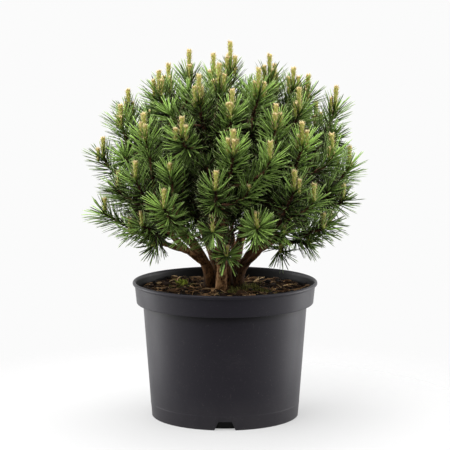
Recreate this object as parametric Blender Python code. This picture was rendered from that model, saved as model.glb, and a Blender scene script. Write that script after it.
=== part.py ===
"""Dwarf mountain pine in a black plastic nursery pot, real size, in metres, +Z up.

The origin is on the ground at the centre of the pot's foot. The front of the plant looks towards -Y.
A bearing is measured in plan from the front, positive to +X, and a climb is measured up from level.

Every limb and every mass of foliage grows by one rule. The crown is a bun whose surface is worked out
from its half sizes. Sites on that surface are where the buds stand: one leading site for each mass,
from the tiers below, and more in the widest places left between them. A bough runs from the trunk,
or from another bough, to the foot of its mass, and the mass branches from there to its sites.
"""

import math
from dataclasses import dataclass, field

import bmesh
import bpy
import numpy as np
from mathutils import Vector

MM = 0.001

# Pot: radii, heights and walls
POT_HEIGHT = 175 * MM
FOOT_RADIUS = 95.6 * MM
FOOT_RING_WIDTH = 4 * MM
FOOT_RECESS = 12 * MM
BODY_TOP_RADIUS = 106.3 * MM
BAND_BOTTOM = 148.6 * MM
BAND_BOTTOM_RADIUS = 114.6 * MM
BAND_TOP = 168 * MM
BAND_TOP_RADIUS = 117 * MM
LIP_RADIUS = 120 * MM
LIP_DROP = 3.2 * MM
POT_WALL = 1.8 * MM
POT_STEPS = 56
NOTCH_COUNT = 4
NOTCH_TOP_WIDTH = 17 * MM
NOTCH_BOTTOM_WIDTH = 27 * MM
NOTCH_HEIGHT = 11 * MM
NOTCH_REACH = 12 * MM

# Soil: the potting mix, filled to just under the lip
SOIL_TOP = 160 * MM
SOIL_UNEVEN = 2.6 * MM
SOIL_PAD_RADIUS = 31 * MM
SOIL_RINGS = 5
SOIL_STEPS = 32
CLEAR = 0.3 * MM

# Trunk: one leaning leader with a flare at the soil
TRUNK_TIP = Vector((6 * MM, 3 * MM, 374 * MM))
TRUNK_BOW = 5 * MM
TRUNK_BASE_RADIUS = 10.5 * MM
TRUNK_TIP_RADIUS = 4.2 * MM
TRUNK_TAPER = 0.75
FLARE_RADIUS = 12.5 * MM
FLARE_HEIGHT = 9 * MM
FLARE_LOBES = 5
FLARE_LOBE_DEPTH = 0.16
TRUNK_SIDES = 12
TRUNK_RINGS = 12

# Crown: half sizes of the surface that the buds stand on
CROWN_CENTRE = Vector((2 * MM, 0.0, 322 * MM))
CROWN_HALF_WIDTH = 156 * MM
CROWN_RISE = 120 * MM
CROWN_DROP = 112 * MM
CROWN_TOP_POWER = 2.0
CROWN_SKIRT_POWER = 2.6
LOWEST_FILL_CLIMB = -30
HIGHEST_FILL_CLIMB = 78
SITE_SPACING = 47 * MM
FILL_REACH = (0.92, 1.02)

# Limbs
BOUGH_RADII = (7.8 * MM, 4.0 * MM)
SIDE_BOUGH_RADII = (4.2 * MM, 3.1 * MM)
STEM_RADII = (2.9 * MM, 2.4 * MM)
TWIG_RADII = (2.1 * MM, 2.3 * MM)
BOUGH_SIDES = 8
SIDE_BOUGH_SIDES = 6
STEM_SIDES = 6
TWIG_SIDES = 4
BOUGH_FOOT_HEIGHT = 168 * MM
BOUGH_FOOT_OUT = 10 * MM
FIRST_BOUGH_BEARING = -88
BOUGH_HANDLE = (0.3, 0.6)
UPPER_HANDLE = (0.6, 0.5)
LOWER_HANDLE = (0.6, 0.35)
TRUNK_STEM_HANDLE = (0.6, 0.4)
UPPER_SHARE = 0.68
LOWER_SHARE = 0.22
SHARE_STEP = 0.1
FORK_BACK = 58 * MM
STEM_LENGTH = 17 * MM
TWIG_SUNK = 3 * MM
LEVEL_SHOOT_SINE = 0.7
SHOOT_OUTWARD = 0.45
SHOOT_UPWARD = 0.85
SHOOT_LEVELLING = 0.5
SHOOT_HANDLE = 0.42
SHORTEST_BACK = 0.6
STEM_AHEAD = 0.6
LOWEST_TRUNK_STEM = 262 * MM
TRUNK_STEM_PITCH = 1.05
CROWN_FORK = 0.28
TWIG_ROOM = 3.2 * MM

# Needles: the faces of three bands of each twig are drawn out into long teeth, as blades of needles
NEEDLE_LENGTH = 33 * MM
NEEDLE_SPREAD = 0.16
NEEDLE_STRAY = 7
BAND_ENDS = (55 * MM, 38 * MM, 20 * MM, 3 * MM)
BAND_LEANS = (64, 53, 40)
SHORTENINGS = (1.0, 0.86, 0.72, 0.58)
SPACE_MARGIN = 1.0 * MM
LIMB_MARGIN = 1.6 * MM
LOWEST_NEEDLE = 183 * MM

# Candles: the pale upright buds of the new season, with small side buds round their foot
LEVEL_CANDLE = 27 * MM
CANDLE_PER_DEGREE = 0.2 * MM
CANDLE_SPREAD = 0.12
LEAST_CANDLE = 9 * MM
LEADER_CANDLE = 44 * MM
CANDLE_RADIUS = 2.8 * MM
CANDLE_SHAPE = ((0.1, 1.0), (0.7, 0.95))
SIDE_BUD_LENGTH = (0.3, 0.5)
SIDE_BUD_LEAN = 20
SIDE_BUDS = 2

SEED = 12


@dataclass(frozen=True)
class Tier:
    """A ring of masses at one climb: how they are carried, and the bearing and reach of each."""

    name: str
    climb: float
    carried_by: str
    places: tuple


# Bearing, reach and climb of each mass against its tier; the front ones follow the plant's own shape
TIERS = (
    Tier("crown", 86, "trunk tip", ((90, 1.02, 1.5),)),
    Tier(
        "upper",
        47,
        "trunk",
        (
            (-70, 1.0, 0),
            (-19, 1.0, -6),
            (27, 1.0, 2),
            (84, 1.0, 3),
            (136, 1.0, 0),
            (-172, 1.0, -4),
            (-120, 1.0, 2),
        ),
    ),
    Tier(
        "shoulder",
        17,
        "bough",
        (
            (-73, 1.02, 6),
            (3, 1.0, -3),
            (89, 1.08, 11),
            (39, 1.0, -2),
            (137, 1.02, 3),
            (-176, 1.0, 0),
            (-136, 1.03, 5),
        ),
    ),
    Tier(
        "flank",
        -3,
        "trunk base",
        (
            (-87, 1.02, 8),
            (-5, 1.0, -1),
            (86, 1.01, 4),
            (158, 1.04, 2),
            (-148, 1.0, 0),
        ),
    ),
    Tier(
        "waist",
        -3,
        "bough",
        (
            (-46, 1.0, 2),
            (32, 1.0, -2),
            (110, 1.0, -3),
        ),
    ),
    Tier(
        "skirt",
        -26,
        "bough",
        (
            (-85, 1.07, 6),
            (-30, 1.0, 13),
            (15, 1.0, 4),
            (0, 1.0, -22),
            (75, 1.02, -15),
            (131, 1.0, 0),
            (178, 1.0, 2),
            (-124, 1.0, 0),
            (-62, 1.0, -16),
        ),
    ),
)


# Bearing and climb of further buds that show at the front
FRONT_BUDS = (
    (-83, 67),
    (90, 64),
    (90, 41),
    (3, 33),
    (27, 26),
    (-23, 20),
    (-45, 19),
    (20, 9),
    (60, 9),
    (44, -11),
    (77, -14),
    (-7, -24),
    (-71, -31),
    (62, -53),
)


@dataclass
class Shoot:
    """One leafy shoot: the path of its twig and the length of its candle."""

    path: np.ndarray
    candle: float


@dataclass
class Mass:
    """One mass of foliage: its site, how it is carried, its stem's foot and its shoots."""

    name: str
    site: Vector
    climb: float
    carried_by: str
    stem: np.ndarray = None
    fork: Vector = None
    sites: list = field(default_factory=list)
    shoots: list = field(default_factory=list)


@dataclass
class Limb:
    """One tapering bough: its path, its radii at foot and tip, and its number of sides."""

    name: str
    path: np.ndarray
    radii: tuple
    sides: int
    parent: str
    upper_limbs: int = 0
    lower_limbs: int = 0

    def next_fork(self, upper):
        """Where the next side bough leaves: from near the tip inwards, or from near the foot outwards."""
        share = UPPER_SHARE - SHARE_STEP * self.upper_limbs
        if not upper:
            share = LOWER_SHARE + SHARE_STEP * self.lower_limbs
        where = share * (len(self.path) - 1)
        low = int(where)
        return Vector(self.path[low]).lerp(Vector(self.path[low + 1]), where - low)


def direction(bearing, climb):
    """Unit vector at a bearing from the front and a climb from level, both in degrees."""
    b = math.radians(bearing)
    c = math.radians(climb)
    return Vector((math.sin(b) * math.cos(c), -math.cos(b) * math.cos(c), math.sin(c)))


def crown_point(way, reach):
    """Point of the bun along a unit vector: a superellipse in height, round in plan."""
    level = math.hypot(way.x, way.y) / CROWN_HALF_WIDTH
    upright = abs(way.z) / (CROWN_RISE if way.z > 0 else CROWN_DROP)
    power = CROWN_TOP_POWER if way.z > 0 else CROWN_SKIRT_POWER
    return CROWN_CENTRE + way * reach * (level**power + upright**power) ** (-1 / power)


def bezier(start, handle, end, count):
    """Points along a curve that leaves start towards the handle and reaches end from it."""
    t = np.linspace(0, 1, count)[:, None]
    a, b, c = (np.array(p) for p in (start, handle, end))
    return (1 - t) ** 2 * a + 2 * t * (1 - t) * b + t**2 * c


def cut_back(path, length):
    """The path without its last stretch of the given length, kept at the same number of points."""
    steps = np.linalg.norm(np.diff(path, axis=0), axis=1)
    along = np.concatenate([[0.0], np.cumsum(steps)])
    keep = np.linspace(0, along[-1] - length, len(path))
    return np.stack([np.interp(keep, along, path[:, k]) for k in range(3)], axis=1)


def end_direction(path):
    """Unit vector along the last step of a path."""
    step = path[-1] - path[-2]
    return step / np.linalg.norm(step)


def trunk_point(height):
    """Centre of the trunk at a height: a straight lean with one slow bow."""
    t = (height - SOIL_TOP) / (TRUNK_TIP.z - SOIL_TOP)
    bow = TRUNK_BOW * math.sin(math.pi * t)
    return Vector((TRUNK_TIP.x * t - bow, TRUNK_TIP.y * t, height))


def trunk_radius(height):
    """Radius of the trunk at a height, without the flare."""
    t = max(0.0, (height - SOIL_TOP) / (TRUNK_TIP.z - SOIL_TOP))
    return TRUNK_BASE_RADIUS + (TRUNK_TIP_RADIUS - TRUNK_BASE_RADIUS) * t**TRUNK_TAPER


def plan_masses(rng):
    """The masses with their leading sites, then the further sites shared out to the nearest mass."""
    masses = []
    for tier in TIERS:
        for number, (bearing, reach, climb) in enumerate(tier.places, start=1):
            way = direction(bearing, tier.climb + climb)
            name = f"foliage_{tier.name}" if len(tier.places) == 1 else f"foliage_{tier.name}_{number}"
            masses.append(Mass(name, crown_point(way, reach), tier.climb + climb, tier.carried_by))
            masses[-1].sites.append(masses[-1].site)
    further = [crown_point(direction(bearing, climb), 1.0) for bearing, climb in FRONT_BUDS]
    for site in further + fill_sites([m.site for m in masses] + further, rng):
        nearest = min(masses, key=lambda m: (m.site - site).length)
        nearest.sites.append(site)
    return masses


def fill_sites(taken, rng):
    """Further bud sites, each taken where the crown's surface is emptiest, until they stand close."""
    golden = math.radians(137.508)
    low, high = (math.sin(math.radians(c)) for c in (LOWEST_FILL_CLIMB, HIGHEST_FILL_CLIMB))
    pool = []
    count = 1500
    for i in range(count):
        up = low + (high - low) * (i + 0.5) / count
        flat = math.sqrt(1 - up * up)
        way = Vector((math.cos(i * golden) * flat, math.sin(i * golden) * flat, up))
        pool.append(crown_point(way, rng.uniform(*FILL_REACH)))
    pool = np.array(pool)
    room = np.linalg.norm(pool[:, None] - np.array(taken)[None], axis=2).min(axis=1)
    sites = []
    while room.max() > SITE_SPACING:
        pick = int(room.argmax())
        sites.append(Vector(pool[pick]))
        room = np.minimum(room, np.linalg.norm(pool - pool[pick], axis=1))
    return sites


def ideal_path(site, foot, handle):
    """A limb's natural sweep from its foot to a site, leaving towards a share of the way out and up."""
    out, up = handle
    way = site - foot
    return bezier(foot, foot + Vector((way.x * out, way.y * out, way.z * up)), site, 25)


def plan_limbs(masses):
    """Boughs from the trunk's base to the flanks, and side boughs from those to the other masses."""
    limbs = []
    flank = [m for m in masses if m.carried_by == "trunk base"]
    for number, mass in enumerate(flank, start=1):
        bearing = FIRST_BOUGH_BEARING + (number - 1) * 360 / len(flank)
        foot = trunk_point(BOUGH_FOOT_HEIGHT) + direction(bearing, 0) * BOUGH_FOOT_OUT
        path = cut_back(ideal_path(mass.site, foot, BOUGH_HANDLE), FORK_BACK + STEM_LENGTH)
        limbs.append(Limb(f"bough_{number}", path[::4], BOUGH_RADII, BOUGH_SIDES, "trunk"))
        start_mass(mass, path)
    main = list(limbs)
    side = [m for m in masses if m.carried_by == "bough"]
    for number, mass in enumerate(side, start=1):
        upper = mass.climb > 0
        parent = min(main, key=lambda b: (b.next_fork(upper) - mass.site).length)
        at = parent.next_fork(upper)
        parent.upper_limbs += upper
        parent.lower_limbs += not upper
        sweep = ideal_path(mass.site, at, UPPER_HANDLE if upper else LOWER_HANDLE)
        free = cut_back(sweep, min(FORK_BACK + STEM_LENGTH, SHORTEST_BACK * (mass.site - at).length))
        limbs.append(
            Limb(f"side_bough_{number}", free[::6], SIDE_BOUGH_RADII, SIDE_BOUGH_SIDES, parent.name)
        )
        start_mass(mass, free)
    for mass in masses:
        if mass.carried_by == "trunk":
            start_on_trunk(mass)
        elif mass.carried_by == "trunk tip":
            foot = TRUNK_TIP + (TRUNK_TIP - trunk_point(TRUNK_TIP.z - 10 * MM)).normalized() * CLEAR
            mass.fork = foot.lerp(mass.site, CROWN_FORK)
            mass.stem = bezier(foot, foot.lerp(mass.fork, 0.5), mass.fork, 3)
    return limbs


def start_mass(mass, path):
    """Set a mass's stem from just clear of its bough's tip on to its fork."""
    way = Vector(end_direction(path))
    foot = Vector(path[-1]) + way * CLEAR
    lift = (mass.site - foot).normalized()
    mass.fork = foot + (way * STEM_AHEAD + lift * (1 - STEM_AHEAD)).normalized() * STEM_LENGTH
    mass.stem = bezier(foot, foot + way * STEM_LENGTH * 0.5, mass.fork, 4)


def start_on_trunk(mass):
    """Set the stem of a mass that leaves the trunk itself, below its site."""
    flat = math.hypot(mass.site.x, mass.site.y)
    height = max(LOWEST_TRUNK_STEM, mass.site.z - flat * TRUNK_STEM_PITCH)
    foot = trunk_point(height)
    path = cut_back(ideal_path(mass.site, foot, TRUNK_STEM_HANDLE), FORK_BACK)
    mass.fork = Vector(path[-1])
    mass.stem = path[::4]


def grow_shoots(mass, rng):
    """Twigs from the fork to each site, curving up at the end, each with its candle."""
    for number, site in enumerate(mass.sites):
        reach = site - mass.fork
        outward = (site - CROWN_CENTRE).normalized()
        low = min(1.0, max(0.0, -outward.z / LEVEL_SHOOT_SINE))
        rising = outward * (SHOOT_OUTWARD + SHOOT_LEVELLING * low)
        rising.z += SHOOT_UPWARD - SHOOT_LEVELLING * low
        handle = site - rising.normalized() * reach.length * SHOOT_HANDLE
        path = bezier(mass.fork, handle, site, 9)
        climb = math.degrees(math.asin(outward.z))
        candle = max(LEAST_CANDLE, LEVEL_CANDLE + CANDLE_PER_DEGREE * climb)
        candle *= 1 + rng.uniform(-CANDLE_SPREAD, CANDLE_SPREAD)
        if mass.carried_by == "trunk tip" and number == 0:
            candle = LEADER_CANDLE
        mass.shoots.append(Shoot(path, candle))


def polyline_gap(points, path):
    """Distance from each point to the nearest place on a path of straight steps."""
    a = path[:-1][None]
    step = (path[1:] - path[:-1])[None]
    q = points[:, None]
    t = ((q - a) * step).sum(axis=2) / (step * step).sum(axis=2)
    near = a + np.clip(t, 0, 1)[:, :, None] * step
    return np.linalg.norm(q - near, axis=2).min(axis=1)


def mass_paths(mass):
    """The lines that a mass keeps round: its stem, its twigs and its candles."""
    paths = [mass.stem]
    for shoot in mass.shoots:
        top = shoot.path[-1] + np.array([0, 0, shoot.candle])
        paths.append(np.vstack([shoot.path, top]))
    return paths


def has_room(shoot, mass, masses, limbs, trunk):
    """True when a shoot's twig keeps clear of every limb and of the twigs of every other mass."""
    points = shoot.path[2:]
    for path, radius in limb_lines(limbs, trunk):
        if polyline_gap(points, path).min() < radius + TWIG_ROOM:
            return False
    for other in masses:
        if other is mass:
            continue
        for path in mass_paths(other):
            if polyline_gap(points, path).min() < 2 * TWIG_ROOM:
                return False
    return True


def limb_lines(limbs, trunk):
    """The line and the widest radius of each bough and of the trunk."""
    return [(limb.path, max(limb.radii)) for limb in limbs] + [(trunk, TRUNK_BASE_RADIUS)]


class Space:
    """The room that a mass keeps to: nearer its own twigs than another's, and clear of every limb."""

    def __init__(self, mass, masses, limbs, trunk):
        self.own = mass_paths(mass)
        self.others = [p for m in masses if m is not mass for p in mass_paths(m)]
        self.limbs = limb_lines(limbs, trunk)

    def holds(self, points):
        """True when every point is in the mass's own room and above the soil."""
        if points[:, 2].min() < LOWEST_NEEDLE:
            return False
        for path, radius in self.limbs:
            if polyline_gap(points, path).min() < radius + LIMB_MARGIN:
                return False
        own = np.min([polyline_gap(points, p) for p in self.own], axis=0)
        other = np.min([polyline_gap(points, p) for p in self.others], axis=0)
        return bool((own + SPACE_MARGIN < other).all())


def add_object(name, verts, faces, smooth=False):
    """A mesh object from plain points and faces."""
    mesh = bpy.data.meshes.new(name)
    mesh.from_pydata([tuple(v) for v in verts], [], [tuple(f) for f in faces])
    obj = bpy.data.objects.new(name, mesh)
    bpy.context.collection.objects.link(obj)
    if smooth:
        mesh.shade_smooth()
        mesh.set_sharp_from_angle(angle=math.radians(40))
    return obj


def rings_to_object(name, rings, tip=None, smooth=False):
    """Join rings of points into one closed tube, capped flat at its foot and flat or pointed at its tip."""
    sides = len(rings[0])
    verts = [p for ring in rings for p in ring]
    faces = []
    for r in range(len(rings) - 1):
        for k in range(sides):
            a = r * sides + k
            b = r * sides + (k + 1) % sides
            faces.append((a, b, b + sides))
            faces.append((a, b + sides, a + sides))
    faces.append(tuple(reversed(range(sides))))
    last = (len(rings) - 1) * sides
    if tip is None:
        faces.append(tuple(range(last, last + sides)))
    else:
        verts.append(tip)
        faces += [(last + k, last + (k + 1) % sides, len(verts) - 1) for k in range(sides)]
    return add_object(name, verts, faces, smooth)


def carried_rings(centres, ways, radii, sides, turn=0.0):
    """Rings of points square to a path, carried along it without twist."""
    side = np.cross(ways[0], [0.3, 0.9, 0.31])
    rings = []
    for centre, way, radius in zip(centres, ways, radii):
        side = side - way * side.dot(way)
        side /= np.linalg.norm(side)
        across = np.cross(way, side)
        angles = turn + np.arange(sides) * 2 * math.pi / sides
        rings.append([centre + radius * (math.cos(a) * side + math.sin(a) * across) for a in angles])
    return rings


def tube(name, path, radii, sides, smooth=False):
    """A tapering limb along a path."""
    ways = np.gradient(path, axis=0)
    ways /= np.linalg.norm(ways, axis=1)[:, None]
    taper = np.linspace(radii[0], radii[1], len(path))
    return rings_to_object(name, carried_rings(path, ways, taper, sides), smooth=smooth)


def at_distances(path, distances):
    """Points at given distances along a path, and its unit directions there."""
    steps = np.linalg.norm(np.diff(path, axis=0), axis=1)
    along = np.concatenate([[0.0], np.cumsum(steps)])
    small = 1.5 * MM

    def at(values):
        return np.stack([np.interp(values, along, path[:, k]) for k in range(3)], axis=1)

    ways = at(distances + small) - at(distances - small)
    return at(distances), ways / np.linalg.norm(ways, axis=1)[:, None], along[-1]


def leafy_shoot(name, shoot, space, rng):
    """One closed solid: a twig, three bands of its faces drawn out into needles, and its candle."""
    path = shoot.path
    sunk = path[0] - (path[1] - path[0]) / np.linalg.norm(path[1] - path[0]) * TWIG_SUNK
    path = np.vstack([sunk, path])
    length = at_distances(path, np.array([0.0]))[2]
    bands = np.minimum(np.array(BAND_ENDS), np.array(BAND_ENDS) * 0.85 * length / BAND_ENDS[0])
    centres, ways, _ = at_distances(path, np.concatenate([[0.0], length - bands]))
    radii = list(np.linspace(TWIG_RADII[0], TWIG_RADII[1], len(centres)))
    for along, swell in CANDLE_SHAPE:
        centres = np.vstack([centres, path[-1] + np.array([0, 0, shoot.candle * along])])
        ways = np.vstack([ways, [0, 0, 1]])
        radii.append(CANDLE_RADIUS * swell)
    rings = carried_rings(centres, ways, radii, TWIG_SIDES, rng.uniform(0, 2 * math.pi))
    mesh = Faceted(rings)
    first = 1
    mesh.close_foot()
    for band in range(len(rings) - 1):
        leans = BAND_LEANS[band - first] if first <= band < first + len(BAND_LEANS) else None
        for k, corners in enumerate(mesh.band_faces(band)):
            tip = None
            if leans is not None:
                tip = needle_tip(mesh, corners, ways[band], leans, space, rng)
            elif band == first + len(BAND_LEANS) and k % (2 * TWIG_SIDES // SIDE_BUDS) == 0:
                tip = bud_tip(mesh, corners, shoot.candle * rng.uniform(*SIDE_BUD_LENGTH))
            mesh.add(corners, tip)
    mesh.close_tip(path[-1] + np.array([0, 0, shoot.candle]))
    return add_object(name, mesh.verts, mesh.faces)


def needle_tip(mesh, corners, way, lean, space, rng):
    """Where a needle drawn out of a face ends: shorter where room is short, or None without room."""
    foot = mesh.middle(corners)
    out = foot - mesh.axis_point(corners)
    out -= way * out.dot(way)
    out /= np.linalg.norm(out)
    across = np.cross(way, out)
    stray = math.radians(rng.uniform(-NEEDLE_STRAY, NEEDLE_STRAY))
    tilt = math.radians(lean + rng.uniform(-NEEDLE_STRAY, NEEDLE_STRAY))
    aim = math.cos(stray) * out + math.sin(stray) * across
    needle = math.sin(tilt) * aim + math.cos(tilt) * way
    full = NEEDLE_LENGTH * (1 + rng.uniform(-NEEDLE_SPREAD, NEEDLE_SPREAD))
    for share in SHORTENINGS:
        along = np.linspace(0.3, 1.04, 6)[:, None] * full * share
        if space.holds(foot + along * needle):
            return foot + needle * full * share
    return None


def bud_tip(mesh, corners, length):
    """Where a small side bud drawn out of a face at the candle's foot ends."""
    foot = mesh.middle(corners)
    out = foot - mesh.axis_point(corners)
    out[2] = 0
    out /= np.linalg.norm(out)
    lean = math.radians(SIDE_BUD_LEAN)
    return foot + length * (math.sin(lean) * out + math.cos(lean) * np.array([0, 0, 1.0]))


class Faceted:
    """A closed tube of triangles over rings of points, any of which may be drawn out to a tip."""

    def __init__(self, rings):
        self.rings = rings
        self.sides = len(rings[0])
        self.verts = [np.array(p) for ring in rings for p in ring]
        self.faces = []

    def close_foot(self):
        """Cap the first ring."""
        self.faces.append(tuple(reversed(range(self.sides))))

    def close_tip(self, tip):
        """Draw the last ring to a point."""
        last = (len(self.rings) - 1) * self.sides
        self.verts.append(tip)
        top = len(self.verts) - 1
        self.faces += [(last + k, last + (k + 1) % self.sides, top) for k in range(self.sides)]

    def band_faces(self, band):
        """The two triangles of each side between a ring and the next, in turn."""
        for k in range(self.sides):
            a = band * self.sides + k
            b = band * self.sides + (k + 1) % self.sides
            yield (a, b, b + self.sides)
            yield (a, b + self.sides, a + self.sides)

    def middle(self, corners):
        """Centre of a triangle."""
        return sum(self.verts[c] for c in corners) / len(corners)

    def axis_point(self, corners):
        """Centre of the tube level with a triangle: the mean of its corners' ring centres."""
        return sum(np.mean(self.rings[c // self.sides], axis=0) for c in corners) / len(corners)

    def add(self, corners, tip=None):
        """Add a triangle, or the three sides of a tooth that is drawn out of it."""
        if tip is None:
            self.faces.append(corners)
            return
        self.verts.append(tip)
        top = len(self.verts) - 1
        a, b, c = corners
        self.faces += [(a, b, top), (b, c, top), (c, a, top)]


def unite(base, pieces):
    """Fuse the pieces into the base with one union on a collection, then remove the pieces."""
    group = bpy.data.collections.new("pieces")
    bpy.context.scene.collection.children.link(group)
    for piece in pieces:
        bpy.context.collection.objects.unlink(piece)
        group.objects.link(piece)
    union = base.modifiers.new("union", "BOOLEAN")
    union.operation = "UNION"
    union.operand_type = "COLLECTION"
    union.collection = group
    union.solver = "MANIFOLD"
    apply_modifiers(base)
    for piece in pieces:
        bpy.data.objects.remove(piece)
    bpy.data.collections.remove(group)


def subtract(base, cutter):
    """Cut one object out of another and remove the cutter."""
    cut = base.modifiers.new("cut", "BOOLEAN")
    cut.operation = "DIFFERENCE"
    cut.object = cutter
    apply_modifiers(base)
    bpy.data.objects.remove(cutter)


def apply_modifiers(obj):
    """Replace an object's mesh by what its modifiers make of it."""
    bpy.context.view_layer.update()
    seen = obj.evaluated_get(bpy.context.evaluated_depsgraph_get())
    made = bpy.data.meshes.new_from_object(seen)
    obj.modifiers.clear()
    obj.data = made


def keep_largest_shell(obj):
    """Drop loose scraps, and the inner skins of hollows that fusing sealed."""
    mesh = bmesh.new()
    mesh.from_mesh(obj.data)
    mesh.verts.ensure_lookup_table()
    left = set(range(len(mesh.verts)))
    shells = []
    while left:
        queue = [left.pop()]
        shell = set(queue)
        while queue:
            for edge in mesh.verts[queue.pop()].link_edges:
                for vert in edge.verts:
                    if vert.index in left:
                        left.remove(vert.index)
                        shell.add(vert.index)
                        queue.append(vert.index)
        shells.append(shell)
    keep = max(shells, key=len)
    drop = [v for v in mesh.verts if v.index not in keep]
    bmesh.ops.delete(mesh, geom=drop, context="VERTS")
    bmesh.ops.triangulate(mesh, faces=mesh.faces)
    mesh.to_mesh(obj.data)
    mesh.free()


def turned(name, profile, steps):
    """Turn a closed half-section, given as radius and height from foot to axis, round +Z."""
    mesh = bmesh.new()
    verts = [mesh.verts.new((r, 0, z)) for r, z in profile]
    edges = [mesh.edges.new((verts[i], verts[i + 1])) for i in range(len(verts) - 1)]
    bmesh.ops.spin(
        mesh,
        geom=verts + edges,
        axis=(0, 0, 1),
        cent=(0, 0, 0),
        steps=steps,
        angle=2 * math.pi,
        use_merge=True,
    )
    bmesh.ops.remove_doubles(mesh, verts=mesh.verts, dist=1e-6)
    bmesh.ops.recalc_face_normals(mesh, faces=mesh.faces)
    data = bpy.data.meshes.new(name)
    mesh.to_mesh(data)
    mesh.free()
    obj = bpy.data.objects.new(name, data)
    bpy.context.collection.objects.link(obj)
    data.shade_smooth()
    data.set_sharp_from_angle(angle=math.radians(30))
    return obj


def paint(obj, name, colour, roughness):
    """Give an object its own material."""
    material = bpy.data.materials.new(name)
    material.use_nodes = True
    shader = material.node_tree.nodes["Principled BSDF"]
    shader.inputs["Base Color"].default_value = (*colour, 1)
    shader.inputs["Roughness"].default_value = roughness
    shader.inputs["Metallic"].default_value = 0.0
    obj.data.materials.clear()
    obj.data.materials.append(material)


def body_radius(height):
    """Outer radius of the pot's tapered body at a height."""
    return FOOT_RADIUS + (BODY_TOP_RADIUS - FOOT_RADIUS) * height / BAND_BOTTOM


def build_pot():
    """The pot: a thin tapered body on a foot ring, a wider band over a ledge, and a rolled lip."""
    floor = FOOT_RECESS + POT_WALL
    ledge_top = BAND_BOTTOM + POT_WALL
    profile = (
        (0, FOOT_RECESS),
        (FOOT_RADIUS - FOOT_RING_WIDTH, FOOT_RECESS),
        (FOOT_RADIUS - FOOT_RING_WIDTH, 0),
        (FOOT_RADIUS, 0),
        (BODY_TOP_RADIUS, BAND_BOTTOM),
        (BAND_BOTTOM_RADIUS, BAND_BOTTOM),
        (BAND_TOP_RADIUS, BAND_TOP),
        (LIP_RADIUS, BAND_TOP + LIP_DROP * 0.4),
        (LIP_RADIUS, POT_HEIGHT - LIP_DROP * 0.5),
        (LIP_RADIUS - LIP_DROP * 0.5, POT_HEIGHT),
        (BAND_TOP_RADIUS - POT_WALL, POT_HEIGHT - LIP_DROP * 0.5),
        (BAND_BOTTOM_RADIUS - POT_WALL, ledge_top),
        (BODY_TOP_RADIUS - POT_WALL, ledge_top),
        (body_radius(floor) - POT_WALL, floor),
        (0, floor),
    )
    pot = turned("pot", profile, POT_STEPS)
    for k in range(NOTCH_COUNT):
        subtract(pot, notch_cutter(-90 + k * 360 / NOTCH_COUNT))
    paint(pot, "black_plastic", (0.018, 0.018, 0.02), 0.42)
    return pot


def notch_cutter(bearing):
    """A drain notch through the foot ring and the pot's lower edge, narrower at its top."""
    below = -2 * MM
    wide = NOTCH_BOTTOM_WIDTH / 2
    narrow = NOTCH_TOP_WIDTH / 2
    top = NOTCH_HEIGHT
    outline = ((-wide, below), (wide, below), (narrow, top), (-narrow, top))
    near = FOOT_RADIUS - NOTCH_REACH
    far = FOOT_RADIUS + NOTCH_REACH
    verts = [(near, y, z) for y, z in outline] + [(far, y, z) for y, z in outline]
    faces = [(0, 3, 2, 1), (4, 5, 6, 7)]
    faces += [(k, (k + 1) % 4, (k + 1) % 4 + 4, k + 4) for k in range(4)]
    cutter = add_object("notch", verts, faces)
    cutter.rotation_euler.z = math.radians(bearing)
    return cutter


def soil_height(x, y):
    """Top of the potting mix: level under the trunk, gently uneven outside it."""
    away = math.hypot(x, y)
    wave = math.sin(x / 0.021 + 1.3) * math.cos(y / 0.027) + 0.6 * math.sin((x - y) / 0.014)
    ease = min(1.0, max(0.0, (away - SOIL_PAD_RADIUS) / (30 * MM)))
    return SOIL_TOP + SOIL_UNEVEN * (wave * ease - 0.8 * ease)


def build_soil():
    """The potting mix as one plug, clear of the pot's floor, wall and ledge, with an uneven top."""
    floor = FOOT_RECESS + POT_WALL + CLEAR
    gap = POT_WALL + CLEAR * 1.6
    ledge_top = BAND_BOTTOM + POT_WALL + CLEAR
    angles = [2 * math.pi * k / SOIL_STEPS for k in range(SOIL_STEPS)]

    def ring(radius, height):
        return [(radius * math.cos(a), radius * math.sin(a), height) for a in angles]

    wall = BAND_BOTTOM_RADIUS - gap
    rings = [
        ring(body_radius(floor) - gap, floor),
        ring(BODY_TOP_RADIUS - gap - CLEAR, ledge_top),
        ring(wall, ledge_top),
    ]
    edge = wall
    rings.append([(x, y, soil_height(x, y)) for x, y, _ in ring(edge, 0)])
    for k in range(SOIL_RINGS):
        radius = SOIL_PAD_RADIUS + (wall - SOIL_PAD_RADIUS) * (1 - (k + 1) / SOIL_RINGS)
        rings.append([(x, y, soil_height(x, y)) for x, y, _ in ring(radius, 0)])
    soil = rings_to_object("soil", rings)
    paint(soil, "potting_mix", (0.035, 0.02, 0.012), 0.95)
    return soil


def trunk_solid(name, extra):
    """The trunk from its flat cut at the soil to its tip, with a lobed flare, grown by an extra radius."""
    foot = SOIL_TOP + CLEAR
    rings = []
    for i in range(TRUNK_RINGS):
        t = (i / (TRUNK_RINGS - 1)) ** 1.7
        height = foot + (TRUNK_TIP.z - foot) * t
        centre = trunk_point(height)
        fade = math.exp(-(height - foot) / FLARE_HEIGHT)
        ring = []
        for k in range(TRUNK_SIDES):
            a = 2 * math.pi * k / TRUNK_SIDES
            lobe = 1 + FLARE_LOBE_DEPTH * fade * math.cos(FLARE_LOBES * a + 0.7)
            radius = (trunk_radius(height) + FLARE_RADIUS * fade) * lobe + extra
            ring.append(centre + Vector((math.cos(a), math.sin(a), 0)) * radius)
        rings.append(ring)
    return rings_to_object(name, rings, smooth=True)


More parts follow.
